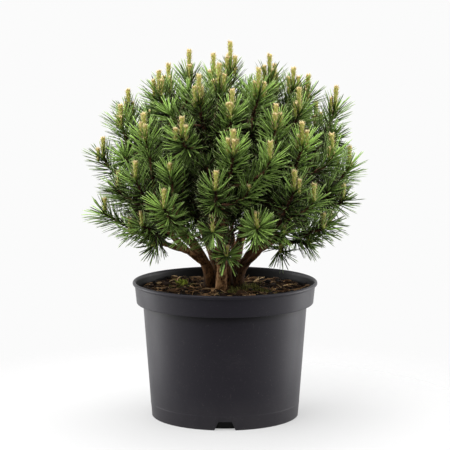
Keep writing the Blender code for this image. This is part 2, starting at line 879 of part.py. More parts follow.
def build_limbs(limbs):
    """The trunk and every bough, each cut back to just clear of what carries it."""
    trunk = trunk_solid("trunk", 0.0)
    paint(trunk, "trunk_bark", (0.115, 0.068, 0.038), 0.9)
    by_name = {limb.name: limb for limb in limbs}
    for limb in limbs:
        bough = tube(limb.name, limb.path, limb.radii, limb.sides, smooth=True)
        if limb.parent == "trunk":
            cutter = trunk_solid("cutter", CLEAR)
        else:
            parent = by_name[limb.parent]
            grown = tuple(r + CLEAR for r in parent.radii)
            cutter = tube("cutter", parent.path, grown, parent.sides)
        subtract(bough, cutter)
        keep_largest_shell(bough)
        paint(bough, f"{limb.name}_bark", (0.105, 0.06, 0.035), 0.9)


def build_mass(mass, space, rng):
    """One mass: its stem and its leafy shoots, fused into one solid."""
    base = tube(mass.name, mass.stem, STEM_RADII, STEM_SIDES)
    unite(base, [leafy_shoot("shoot", shoot, space, rng) for shoot in mass.shoots])
    if mass.carried_by == "trunk":
        subtract(base, trunk_solid("cutter", CLEAR))
    keep_largest_shell(base)
    paint(base, f"{mass.name}_needles", (0.075, 0.125, 0.035), 0.6)


def main():
    """Clear the scene, plan the plant, and build the pot, the soil, the limbs and the masses."""
    for obj in list(bpy.data.objects):
        bpy.data.objects.remove(obj)
    rng = np.random.default_rng(SEED)
    masses = plan_masses(rng)
    limbs = plan_limbs(masses)
    trunk = np.array([trunk_point(SOIL_TOP + (TRUNK_TIP.z - SOIL_TOP) * k / 8) for k in range(9)])
    for mass in masses:
        grow_shoots(mass, rng)
    for mass in masses:
        further = [s for s in mass.shoots[1:] if has_room(s, mass, masses, limbs, trunk)]
        mass.shoots = mass.shoots[:1] + further
    build_pot()
    build_soil()
    build_limbs(limbs)
    for mass in masses:
        build_mass(mass, Space(mass, masses, limbs, trunk), rng)


if __name__ == "__main__":
    main()
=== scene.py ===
"""Dwarf mountain pine in a black nursery pot: the dressed model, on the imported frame.

Lengths are in metres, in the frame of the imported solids: the origin is on the ground under the
pot's middle, +Z is up and the front looks towards -Y. A bearing is measured in plan from the
front, positive to +X, and a climb is measured up from level.
"""

import logging
import math
from dataclasses import dataclass, field
from enum import Enum

import bpy
import numpy as np
from numpy.typing import NDArray
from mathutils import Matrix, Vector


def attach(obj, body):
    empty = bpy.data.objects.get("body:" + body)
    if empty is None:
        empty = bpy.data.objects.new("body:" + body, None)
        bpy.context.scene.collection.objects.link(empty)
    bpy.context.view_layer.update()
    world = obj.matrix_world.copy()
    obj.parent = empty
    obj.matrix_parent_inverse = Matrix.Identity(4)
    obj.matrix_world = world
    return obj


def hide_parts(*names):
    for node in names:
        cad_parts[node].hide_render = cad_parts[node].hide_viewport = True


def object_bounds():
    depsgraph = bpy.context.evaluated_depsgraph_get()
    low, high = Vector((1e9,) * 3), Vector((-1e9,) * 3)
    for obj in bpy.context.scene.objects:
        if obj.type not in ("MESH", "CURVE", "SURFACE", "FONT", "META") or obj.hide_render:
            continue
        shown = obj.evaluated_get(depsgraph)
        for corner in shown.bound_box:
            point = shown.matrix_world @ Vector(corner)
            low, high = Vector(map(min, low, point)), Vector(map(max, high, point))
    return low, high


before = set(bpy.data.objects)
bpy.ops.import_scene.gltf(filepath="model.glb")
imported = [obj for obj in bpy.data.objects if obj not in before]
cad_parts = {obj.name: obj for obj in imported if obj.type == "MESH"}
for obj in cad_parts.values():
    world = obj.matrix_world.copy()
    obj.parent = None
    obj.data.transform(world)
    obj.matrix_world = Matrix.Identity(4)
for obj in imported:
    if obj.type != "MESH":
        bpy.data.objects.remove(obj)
CAD_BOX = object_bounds()

Floats = NDArray[np.float64]
Ints = NDArray[np.int64]
Colour = tuple[float, float, float]
Pair = tuple[float, float]

log = logging.getLogger("pine")

MM = 0.001
UP = np.array([0.0, 0.0, 1.0])
GOLDEN_ANGLE = math.radians(137.508)
OFF_AXIS = np.array([0.31, 0.9, 0.3])
SWEEP_POINTS = 25


class Slot(Enum):
    """The record's material slots."""

    PLASTIC = "black_plastic"
    SOIL = "potting_mix"
    BARK = "bark"
    NEEDLES = "needles"


class Carrier(Enum):
    """What a mass of foliage grows on."""

    TRUNK_TIP = "trunk tip"
    TRUNK = "trunk"
    BOUGH = "bough"
    TRUNK_BASE = "trunk base"


# Shape tools


def unit(vectors: Floats) -> Floats:
    """Vectors divided by their lengths, along the last axis."""
    return vectors / np.linalg.norm(vectors, axis=-1, keepdims=True)


def xyz(x: Floats, y: Floats, z: Floats | float) -> Floats:
    """Points or vectors from their three parts."""
    return np.stack([x, y, z + 0 * x], axis=-1)


def ring(count: int) -> Floats:
    """Angles in even steps once round, in radians."""
    return np.arange(count) * 2 * math.pi / count


def direction(bearing: Floats | float, climb: Floats | float) -> Floats:
    """Unit vectors (sin b cos c, -cos b cos c, sin c) at bearings b and climbs c in degrees."""
    b, c = np.radians(bearing), np.radians(climb)
    return xyz(np.sin(b) * np.cos(c), -np.cos(b) * np.cos(c), np.sin(c))


def square_out(way: Floats, turn: Floats) -> Floats:
    """Directions square to unit vectors, each at its own turn round its vector.

    Formula: cos a side + sin a (way x side), where side is way x a fixed vector.

    Args:
        way: unit vectors, shape (n, 3).
        turn: angles a in radians, shape (n).

    Returns:
        Unit vectors, shape (n, 3).
    """
    side = unit(np.cross(way, OFF_AXIS))
    return np.cos(turn)[:, None] * side + np.sin(turn)[:, None] * np.cross(way, side)


def bezier(start: Floats, handle: Floats, end: Floats, count: int) -> Floats:
    """Points along quadratic curves.

    Formula: (1 - t)^2 start + 2 t (1 - t) handle + t^2 end, with t from 0 to 1 in even steps.

    Args:
        start: where the curve leaves, shape (..., 3).
        handle: the point that it leaves towards.
        end: where it arrives.
        count: number of points.

    Returns:
        Array of shape (..., count, 3).
    """
    t = np.linspace(0, 1, count)[:, None]
    a, b, c = (np.asarray(p)[..., None, :] for p in (start, handle, end))
    return (1 - t) ** 2 * a + 2 * t * (1 - t) * b + t**2 * c


def arc_lengths(path: Floats) -> Floats:
    """Distance from a path's first point to each of its points."""
    return np.concatenate([[0.0], np.cumsum(np.linalg.norm(np.diff(path, axis=0), axis=1))])


def along_path(path: Floats, distances: Floats) -> Floats:
    """Points at given distances along a path of straight steps."""
    arcs = arc_lengths(path)
    return np.stack([np.interp(distances, arcs, path[:, k]) for k in range(3)], axis=-1)


def resampled(path: Floats, count: int, cut: float = 0.0) -> Floats:
    """The path at evenly spaced points, without its last stretch of a length."""
    return along_path(path, np.linspace(0, arc_lengths(path)[-1] - cut, count))


def smoothed(path: Floats, count: int) -> Floats:
    """A quadratic curve through a path's ends that passes its middle point, at even distances."""
    middle = along_path(path, arc_lengths(path)[-1] / 2)
    handle = 2 * middle - (path[0] + path[-1]) / 2
    return resampled(bezier(path[0], handle, path[-1], 80), count)


def path_gap(points: Floats, path: Floats) -> Floats:
    """Distance from each point to the nearest place on a path.

    Formula: each point is dropped square on each straight step, held between the step's ends.

    Args:
        points: shape (n, 3).
        path: shape (m, 3).

    Returns:
        Array of n distances.
    """
    best = np.full(len(points), np.inf)
    for a, b in zip(path[:-1], path[1:]):
        step = b - a
        t = np.clip((points - a) @ step / (step @ step), 0, 1)
        best = np.minimum(best, np.linalg.norm(points - a - t[:, None] * step, axis=1))
    return best


def lattice_noise(points: Floats, seed: int) -> Floats:
    """Smooth noise from 0 to 1.

    Formula: a scrambled number at each whole-number corner of space, blended inside each cell by
    the smoothstep of the place in the cell. The long whole numbers only scramble.

    Args:
        points: places in noise space, shape (..., 3).
        seed: chooses another set of numbers.

    Returns:
        Array of values, shape (...).
    """
    cell = np.floor(points).astype(np.int64)
    part = points - cell
    part = part * part * (3 - 2 * part)
    total = np.zeros(points.shape[:-1])
    for corner in range(8):
        pick = np.array([corner & 1, corner >> 1 & 1, corner >> 2 & 1])
        x, y, z = np.moveaxis(cell + pick, -1, 0)
        code = x * 73856093 ^ y * 19349663 ^ z * 83492791 ^ seed * 2654435
        for shift, factor in ((13, 1274126177), (16, 1103515245)):
            code = (code ^ code >> shift) * factor & 0xFFFFFFFF
        share = np.where(pick == 1, part, 1 - part).prod(axis=-1)
        total += share * (code >> 8 & 0xFFFF) / 65535.0
    return total


def layered_noise(points: Floats, layers: int, seed: int) -> Floats:
    """Noise from about -1 to 1: layers of doubled fineness and halved strength, added up."""
    total = np.zeros(points.shape[:-1])
    for layer in range(layers):
        total += (lattice_noise(points * 2.03**layer, seed + layer) * 2 - 1) * 0.5**layer
    return total / (2 - 0.5 ** (layers - 1))


@dataclass
class Surface:
    """Points and faces of a mesh, with named values carried by its points."""

    points: Floats
    quads: Ints
    triangles: Ints
    values: dict[str, Floats] = field(default_factory=dict)

    def triangle_count(self) -> int:
        """Number of triangles once the quads are split."""
        return 2 * len(self.quads) + len(self.triangles)

    def carry(self, name: str, values: Floats) -> None:
        """Give the points a named value: one for each, or one for each tube, repeated."""
        self.values[name] = np.repeat(values, len(self.points) // len(values))


def joined(surfaces: list[Surface]) -> Surface:
    """Several surfaces with the same named values as one, with their numbers shifted on."""
    starts = np.concatenate([[0], np.cumsum([len(s.points) for s in surfaces])[:-1]])
    return Surface(
        np.concatenate([s.points for s in surfaces]),
        np.concatenate([s.quads + n for s, n in zip(surfaces, starts)]),
        np.concatenate([s.triangles + n for s, n in zip(surfaces, starts)]),
        {k: np.concatenate([s.values[k] for s in surfaces]) for k in surfaces[0].values},
    )


def closed_grids(rings: Floats, feet: Floats, tips: Floats) -> Surface:
    """Tubes over rings of points, each closed at both ends round a middle point.

    Ring r of tube s is joined to ring r + 1 by quads. The rings turn left-handed against the way
    the tube runs, so its faces point outwards.

    Args:
        rings: shape (tubes, rings, sides, 3).
        feet: middle points of the first rings, shape (tubes, 3).
        tips: middle points of the last rings, shape (tubes, 3).

    Returns:
        The surface, whose points run tube by tube: the rings, then the foot and the tip.
    """
    tubes, count, sides, _ = rings.shape
    points = np.concatenate([rings.reshape(tubes, -1, 3), feet[:, None], tips[:, None]], axis=1)
    start = np.arange(tubes)[:, None, None] * (count * sides + 2)
    row = np.arange(count - 1)[None, :, None] * sides
    k = np.arange(sides)[None, None, :]
    a = start + row + k
    b = start + row + (k + 1) % sides
    quads = np.stack([a, b, b + sides, a + sides], axis=-1).reshape(-1, 4)
    foot = start[:, 0] + count * sides + 0 * k[0]
    low_a, low_b = start[:, 0] + k[0], start[:, 0] + (k[0] + 1) % sides
    high = (count - 1) * sides
    caps = [
        np.stack([low_b, low_a, foot], axis=-1),
        np.stack([low_a + high, low_b + high, foot + 1], axis=-1),
    ]
    return Surface(points.reshape(-1, 3), quads, np.concatenate(caps).reshape(-1, 3))


def flat_curve_side(paths: Floats) -> Floats:
    """One direction for each path that stays square to the whole of it, as each lies in a plane.

    Formula: the cross product of the steps from a path's first point to its middle and to its
    end, with a small fixed vector added for a path that is nearly straight.

    Args:
        paths: shape (tubes, count, 3).

    Returns:
        Unit vectors, shape (tubes, 3).
    """
    middle = paths[:, paths.shape[1] // 2] - paths[:, 0]
    whole = paths[:, -1] - paths[:, 0]
    spare = np.cross(unit(whole), OFF_AXIS[::-1])
    return unit(np.cross(middle, whole) / (whole**2).sum(axis=1)[:, None] + 0.004 * spare)


def tubes(paths: Floats, radii: Floats, sides: int) -> Surface:
    """Round tubes carried along flat curves.

    Formula: centre + radius (cos a side + sin a across), where side is square to the curve's
    plane, across = way x side and a runs once round.

    Args:
        paths: shape (tubes, count, 3).
        radii: shape (tubes, count) or (tubes, count, sides).
        sides: number of points in a ring.

    Returns:
        All tubes as one surface.
    """
    ways = unit(np.gradient(paths, axis=1))
    side = flat_curve_side(paths)[:, None]
    side = unit(side - ways * (ways * side).sum(axis=-1, keepdims=True))
    across = np.cross(ways, side)
    a = ring(sides)[:, None]
    wide = radii[..., None] if radii.ndim == 2 else radii
    spokes = np.cos(a) * side[:, :, None] + np.sin(a) * across[:, :, None]
    rings = paths[:, :, None] + wide[..., None] * spokes
    return closed_grids(rings, paths[:, 0], paths[:, -1])


def with_ends(values: Floats, foot: float = 0.5, tip: float = 0.5) -> Floats:
    """Values of the rings of tubes, followed by those of each tube's foot and tip points."""
    flat = values.reshape(len(values), -1)
    ends = np.broadcast_to(np.array([foot, tip]), (len(flat), 2))
    return np.concatenate([flat, ends], axis=1).ravel()


def make_piece(
    name: str,
    surface: Surface,
    material: bpy.types.Material,
    stands_for: tuple[str, ...] = (),
    sharp: float = 180,
) -> None:
    """Put a mesh object that rides on the root body into the scene.

    Args:
        name: the piece's name.
        surface: its points, faces and values.
        material: its finish.
        stands_for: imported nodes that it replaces.
        sharp: degrees between faces above which an edge stays crisp.
    """
    mesh = bpy.data.meshes.new(name)
    mesh.vertices.add(len(surface.points))
    mesh.vertices.foreach_set("co", surface.points.astype(np.float32).ravel())
    corners = np.concatenate([surface.quads.ravel(), surface.triangles.ravel()])
    sizes = np.repeat([4, 3], [len(surface.quads), len(surface.triangles)])
    starts = np.concatenate([[0], np.cumsum(sizes)[:-1]])
    mesh.loops.add(len(corners))
    mesh.loops.foreach_set("vertex_index", corners.astype(np.int32))
    mesh.polygons.add(len(sizes))
    mesh.polygons.foreach_set("loop_start", starts.astype(np.int32))
    for key, numbers in surface.values.items():
        layer = mesh.attributes.new(key, "FLOAT", "POINT")
        layer.data.foreach_set("value", numbers.astype(np.float32))
    mesh.update(calc_edges=True)
    mesh.validate()
    mesh.shade_smooth()
    if sharp < 180:
        mesh.set_sharp_from_angle(angle=math.radians(sharp))
    mesh.materials.append(material)
    piece = bpy.data.objects.new(name, mesh)
    bpy.context.scene.collection.objects.link(piece)
    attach(piece, "root")
    if stands_for:
        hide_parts(*stands_for)
    log.info("%s: %d triangles", name, surface.triangle_count())


# Growth: the plan of the plant, worked out again by the rule that its solids follow


@dataclass(frozen=True)
class Tier:
    """A ring of masses at one climb: bearing, reach and climb offset of each."""

    name: str
    climb: float
    carried_by: Carrier
    places: tuple[tuple[float, float, float], ...]


# fmt: off
TIERS = (
    Tier("crown", 86, Carrier.TRUNK_TIP, ((90, 1.02, 1.5),)),
    Tier("upper", 47, Carrier.TRUNK, (
        (-70, 1, 0), (-19, 1, -6), (27, 1, 2), (84, 1, 3), (136, 1, 0), (-172, 1, -4),
        (-120, 1, 2),
    )),
    Tier("shoulder", 17, Carrier.BOUGH, (
        (-73, 1.02, 6), (3, 1, -3), (89, 1.08, 11), (39, 1, -2), (137, 1.02, 3), (-176, 1, 0),
        (-136, 1.03, 5),
    )),
    Tier("flank", -3, Carrier.TRUNK_BASE, (
        (-87, 1.02, 8), (-5, 1, -1), (86, 1.01, 4), (158, 1.04, 2), (-148, 1, 0),
    )),
    Tier("waist", -3, Carrier.BOUGH, ((-46, 1, 2), (32, 1, -2), (110, 1, -3))),
    Tier("skirt", -26, Carrier.BOUGH, (
        (-85, 1.07, 6), (-30, 1, 13), (15, 1, 4), (0, 1, -22), (75, 1.02, -15), (131, 1, 0),
        (178, 1, 2), (-124, 1, 0), (-62, 1, -16),
    )),
)

# Bearing and climb of further buds that show at the front
FRONT_BUDS = (
    (-83, 67), (90, 64), (90, 41), (3, 33), (27, 26), (-23, 20), (-45, 19), (20, 9), (60, 9),
    (44, -11), (77, -14), (-7, -24), (-71, -31), (62, -53),
)
# fmt: on


@dataclass
class Shoot:
    """A leafy shoot: the three points of its curve, its leafed length, candle and tone."""

    start: Floats
    handle: Floats
    end: Floats
    leafed: float
    candle: float
    tone: float = 0.5

    def path(self, count: int) -> Floats:
        """Points along the shoot's twig."""
        return bezier(self.start, self.handle, self.end, count)


@dataclass
class Mass:
    """A mass of foliage: its leading site, how it is carried, its stem and its shoots."""

    name: str
    tier: str
    site: Floats
    climb: float
    carried_by: Carrier
    stem: Floats | None = None
    fork: Floats | None = None
    sites: list[Floats] = field(default_factory=list)
    shoots: list[Shoot] = field(default_factory=list)


@dataclass
class Limb:
    """A tapering bough: its path, its radii at foot and tip, and the side boughs it carries."""

    name: str
    path: Floats
    radii: Pair
    upper_limbs: int = 0
    lower_limbs: int = 0
    upper_share: float = 0.68
    lower_share: float = 0.22
    share_step: float = 0.1

    def next_fork(self, upper: bool) -> Floats:
        """Where the next side bough leaves: from near the tip inwards or near the foot out."""
        share = self.upper_share - self.share_step * self.upper_limbs
        if not upper:
            share = self.lower_share + self.share_step * self.lower_limbs
        where = share * (len(self.path) - 1)
        low = int(where)
        return self.path[low] + (self.path[low + 1] - self.path[low]) * (where - low)


@dataclass
class Growth:
    """The whole plan: crown surface, bud sites, boughs, stems and shoots.

    A handle gives the share of the way out and of the way up at which a limb's curve bends. Each
    fine shell gives its nearest and farthest reach and the widest gap between its shoots.
    """

    soil_top: float = 160 * MM
    trunk_tip: tuple[float, float, float] = (6 * MM, 3 * MM, 374 * MM)
    trunk_bow: float = 5 * MM
    trunk_radii: Pair = (10.5 * MM, 4.2 * MM)
    trunk_taper: float = 0.75
    crown_centre: tuple[float, float, float] = (2 * MM, 0.0, 322 * MM)
    half_width: float = 156 * MM
    rise: float = 120 * MM
    drop: float = 112 * MM
    top_power: float = 2.0
    skirt_power: float = 2.6
    fill_climbs: Pair = (-30, 78)
    fill_pool: int = 1500
    fill_reach: Pair = (0.92, 1.02)
    site_spacing: float = 47 * MM
    fork_back: float = 58 * MM
    most_back: float = 0.6
    stem_length: float = 17 * MM
    stem_lift: float = 0.4
    bough_radii: Pair = (7.8 * MM, 4.0 * MM)
    side_radii: Pair = (4.2 * MM, 3.1 * MM)
    bough_foot_height: float = 168 * MM
    bough_foot_out: float = 10 * MM
    first_bough_bearing: float = -88
    bough_handle: Pair = (0.3, 0.6)
    upper_handle: Pair = (0.6, 0.5)
    lower_handle: Pair = (0.6, 0.35)
    trunk_stem_handle: Pair = (0.6, 0.4)
    trunk_stem_slope: float = 1.05
    lowest_trunk_stem: float = 262 * MM
    tip_stem_share: float = 0.28
    level_shoot_sine: float = 0.7
    shoot_handle: float = 0.42
    level_candle: float = 27 * MM
    candle_per_degree: float = 0.2 * MM
    candle_spread: float = 0.12
    least_candle: float = 9 * MM
    leader_candle: float = 44 * MM
    leafed: float = 68 * MM
    most_leafed: float = 0.9
    fine_leafed: float = 46 * MM
    fine_pool: int = 2400
    fine_climbs: Pair = (-34, 84)
    fine_shells: tuple[tuple[float, float, float], ...] = (
        (0.88, 0.97, 38 * MM),
        (0.68, 0.80, 36 * MM),
        (0.42, 0.60, 30 * MM),
        (0.16, 0.32, 27 * MM),
    )
    bare_reach: float = 0.7
    fine_candles: Pair = (6 * MM, 16 * MM)
    fine_candle_share: float = 0.35
    open_height: float = 286 * MM
    open_half: float = 26 * MM
    # painted shade: shoots deeper in the crown than outer_depth get the darker tones
    outer_depth: float = 0.86
    lit_outer_tones: Pair = (0.4, 0.95)
    shaded_inner_tones: Pair = (0.03, 0.34)
    seed: int = 12
    masses: list[Mass] = field(default_factory=list)
    limbs: list[Limb] = field(default_factory=list)

    def plan(self) -> None:
        """Work out the masses, the limbs that carry them and every shoot."""
        rng = np.random.default_rng(self.seed)
        self.plan_masses(rng)
        self.plan_limbs()
        for mass in self.masses:
            for number, site in enumerate(mass.sites):
                leader = mass.carried_by is Carrier.TRUNK_TIP and number == 0
                candle = self.candle_at(site) * (1 + float(rng.uniform(-1, 1)) * self.candle_spread)
                candle = self.leader_candle if leader else candle
                mass.shoots.append(self.shoot(mass.fork, site, candle, self.leafed))
        fine = np.random.default_rng(self.seed + 1)
        self.add_fine_shoots(fine)
        for shoot in (s for m in self.masses for s in m.shoots):
            out = shoot.end - np.array(self.crown_centre)
            edge = self.crown_point(unit(out), 1.0) - self.crown_centre
            depth = np.linalg.norm(out) / np.linalg.norm(edge)
            # painted shade: shoots deep inside the crown take darker tones than those at its
            # surface
            tones = self.lit_outer_tones if depth > self.outer_depth else self.shaded_inner_tones
            shoot.tone = float(fine.uniform(*tones))

    def candle_at(self, site: Floats) -> float:
        """Length of the candle at a site: longer by a fixed step for each degree of climb."""
        outward = unit(site - np.array(self.crown_centre))
        climb = math.degrees(math.asin(outward[2]))
        return max(self.least_candle, self.level_candle + self.candle_per_degree * climb)

    def crown_point(self, way: Floats, reach: Floats | float) -> Floats:
        """Points of the bun along unit vectors.

        Formula: the centre plus way x reach x (level^p + upright^p)^(-1/p), where level and
        upright are the vector's parts over the half sizes, and p differs above and below the
        centre.

        Args:
            way: unit vectors, shape (..., 3).
            reach: share of the surface's distance.

        Returns:
            Points, shape (..., 3).
        """
        level = np.hypot(way[..., 0], way[..., 1]) / self.half_width
        high = way[..., 2] > 0
        upright = np.abs(way[..., 2]) / np.where(high, self.rise, self.drop)
        p = np.where(high, self.top_power, self.skirt_power)
        far = reach * (level**p + upright**p) ** (-1 / p)
        return np.array(self.crown_centre) + way * np.asarray(far)[..., None]

    def trunk_point(self, height: Floats | float) -> Floats:
        """Centres of the trunk at heights: a straight lean with one slow sine bow."""
        t = (height - self.soil_top) / (self.trunk_tip[2] - self.soil_top)
        x = self.trunk_tip[0] * t - self.trunk_bow * np.sin(math.pi * t)
        return xyz(x, self.trunk_tip[1] * t, height)

    def plan_masses(self, rng: np.random.Generator) -> None:
        """Place each mass's leading site, then share further sites out to the nearest mass."""
        for tier in TIERS:
            for number, (bearing, reach, offset) in enumerate(tier.places, start=1):
                name = f"foliage_{tier.name}" + (f"_{number}" if len(tier.places) > 1 else "")
                climb = tier.climb + offset
                site = self.crown_point(direction(bearing, climb), reach)
                mass = Mass(name, tier.name, site, climb, tier.carried_by, sites=[site])
                self.masses.append(mass)
        reach = rng.uniform(*self.fill_reach, self.fill_pool)
        further = list(self.crown_point(direction(*np.array(FRONT_BUDS, float).T), 1.0))
        taken = np.array([m.site for m in self.masses] + further)
        further += self.fill_sites(taken, reach, self.fill_climbs, self.site_spacing)
        for site in further:
            self.nearest_mass(site).sites.append(site)

    def nearest_mass(self, site: Floats) -> Mass:
        """The mass whose leading site is nearest."""
        return min(self.masses, key=lambda m: float(np.linalg.norm(m.site - site)))

    def fill_sites(
        self, taken: Floats, reach: Floats, climbs: Pair, spacing: float
    ) -> list[Floats]:
        """Further sites, each where the crown's surface is emptiest, until they stand close.

        Formula: the pool is a golden-angle spiral on the sphere carried to the bun.

        Args:
            taken: sites that are there already, shape (n, 3).
            reach: share of the surface's distance for each place of the pool.
            climbs: lowest and highest climb of the pool.
            spacing: the widest gap that may be left.

        Returns:
            The new sites.
        """
        low, high = np.sin(np.radians(climbs))
        i = np.arange(len(reach))
        up = low + (high - low) * (i + 0.5) / len(reach)
        flat = np.sqrt(1 - up * up)
        way = xyz(np.cos(i * GOLDEN_ANGLE) * flat, np.sin(i * GOLDEN_ANGLE) * flat, up)
        pool = self.crown_point(way, reach)
        room = np.linalg.norm(pool[:, None] - taken[None], axis=2).min(axis=1)
        sites = []
        while room.max() > spacing:
            sites.append(pool[int(room.argmax())])
            room = np.minimum(room, np.linalg.norm(pool - sites[-1], axis=1))
        return sites

    def sweep(self, site: Floats, foot: Floats, handle: Pair) -> Floats:
        """A limb's natural curve to a site, leaving towards a share of the way out and up."""
        out, up = handle
        return bezier(foot, foot + (site - foot) * np.array([out, out, up]), site, SWEEP_POINTS)

    def plan_limbs(self) -> None:
        """Boughs from the trunk's base to the flanks, side boughs from those, and every stem."""
        flank = [m for m in self.masses if m.carried_by is Carrier.TRUNK_BASE]
        back = self.fork_back + self.stem_length
        for number, mass in enumerate(flank, start=1):
            way = direction(self.first_bough_bearing + (number - 1) * 360 / len(flank), 0)
            foot = self.trunk_point(self.bough_foot_height) + way * self.bough_foot_out
            path = resampled(self.sweep(mass.site, foot, self.bough_handle), SWEEP_POINTS, back)
            self.limbs.append(Limb(f"bough_{number}", path[::4], self.bough_radii))
            self.start_mass(mass, path)
        main = list(self.limbs)
        carried = [m for m in self.masses if m.carried_by is Carrier.BOUGH]
        for number, mass in enumerate(carried, start=1):
            upper = mass.climb > 0
            bough = min(main, key=lambda b: float(np.linalg.norm(b.next_fork(upper) - mass.site)))
            at = bough.next_fork(upper)
            bough.upper_limbs += upper
            bough.lower_limbs += not upper
            whole = self.sweep(mass.site, at, self.upper_handle if upper else self.lower_handle)
            most = self.most_back * float(np.linalg.norm(mass.site - at))
            path = resampled(whole, SWEEP_POINTS, min(back, most))
            self.limbs.append(Limb(f"side_bough_{number}", path[::6], self.side_radii))
            self.start_mass(mass, path)
        for mass in self.masses:
            if mass.carried_by is Carrier.TRUNK:
                self.start_on_trunk(mass)
            elif mass.carried_by is Carrier.TRUNK_TIP:
                foot = np.array(self.trunk_tip)
                mass.fork = foot + (mass.site - foot) * self.tip_stem_share
                mass.stem = bezier(foot, (foot + mass.fork) / 2, mass.fork, 9)

    def start_mass(self, mass: Mass, path: Floats) -> None:
        """Set a mass's stem from its bough's tip on to its fork."""
        way, foot = unit(path[-1] - path[-2]), path[-1]
        aim = unit(way * (1 - self.stem_lift) + unit(mass.site - foot) * self.stem_lift)
        mass.fork = foot + aim * self.stem_length
        mass.stem = bezier(foot - way * 2 * MM, foot + way * self.stem_length / 2, mass.fork, 9)

    def start_on_trunk(self, mass: Mass) -> None:
        """Set the stem of a mass that leaves the trunk itself, below its site."""
        below = mass.site[2] - math.hypot(mass.site[0], mass.site[1]) * self.trunk_stem_slope
        foot = self.trunk_point(max(self.lowest_trunk_stem, below))
        whole = self.sweep(mass.site, foot, self.trunk_stem_handle)
        mass.stem = resampled(whole, SWEEP_POINTS, self.fork_back)
        mass.fork = mass.stem[-1]

    def shoot(self, fork: Floats, site: Floats, candle: float, leafed: float) -> Shoot:
        """A shoot from a fork to a site that turns up at its end, less so low down in the crown.

        Formula: it arrives along outward x (0.45 + 0.5 low) + up x (0.85 - 0.5 low), where low
        goes from 0 at the crown's middle height to 1 near its lower edge.

        Args:
            fork: where it leaves.
            site: where its bud stands.
            candle: length of the bud.
            leafed: length of twig that carries needles.

        Returns:
            The shoot.
        """
        outward = unit(site - np.array(self.crown_centre))
        low = min(1.0, max(0.0, -outward[2] / self.level_shoot_sine))
        rising = unit(outward * (0.45 + 0.5 * low) + UP * (0.85 - 0.5 * low))
        reach = float(np.linalg.norm(site - fork))
        handle = site - rising * reach * self.shoot_handle
        return Shoot(fork, handle, site, min(leafed, reach * self.most_leafed), candle)

    def add_fine_shoots(self, rng: np.random.Generator) -> None:
        """Finer shoots between the sites, each off the nearest twig of the nearest mass.

        Shoots of the outermost shell may end in small candles. The shells inside the bare reach
        leave the low middle of the crown open.
        """
        taken = np.array([s for m in self.masses for s in m.sites])
        for low, high, spacing in self.fine_shells:
            inner = high < self.bare_reach
            reach = rng.uniform(low, high, self.fine_pool)
            for site in self.fill_sites(taken, reach, self.fine_climbs, spacing):
                if inner and site[2] < self.open_height and abs(site[0]) < self.open_half:
                    continue
                mass = self.nearest_mass(site)
                own = mass.shoots[: len(mass.sites)]
                twig = min(own, key=lambda s: float(np.linalg.norm(s.end - site)))
                candle = self.small_candle(rng) if low > self.bare_reach else 0.0
                fork = twig.path(9)[3]
                mass.shoots.append(self.shoot(fork, site, candle, self.fine_leafed))

    def small_candle(self, rng: np.random.Generator) -> float:
        """Length of a fine shoot's candle, which is 0 for most."""
        has_one = rng.uniform() < self.fine_candle_share
        return float(rng.uniform(*self.fine_candles)) if has_one else 0.0

    def limb_lines(self) -> list[tuple[Floats, float]]:
        """The line and widest radius of the trunk and of each bough."""
        trunk = self.trunk_point(np.linspace(self.soil_top, self.trunk_tip[2], 12))
        return [(trunk, self.trunk_radii[0] * 0.8)] + [(b.path, b.radii[0]) for b in self.limbs]


# Finishes


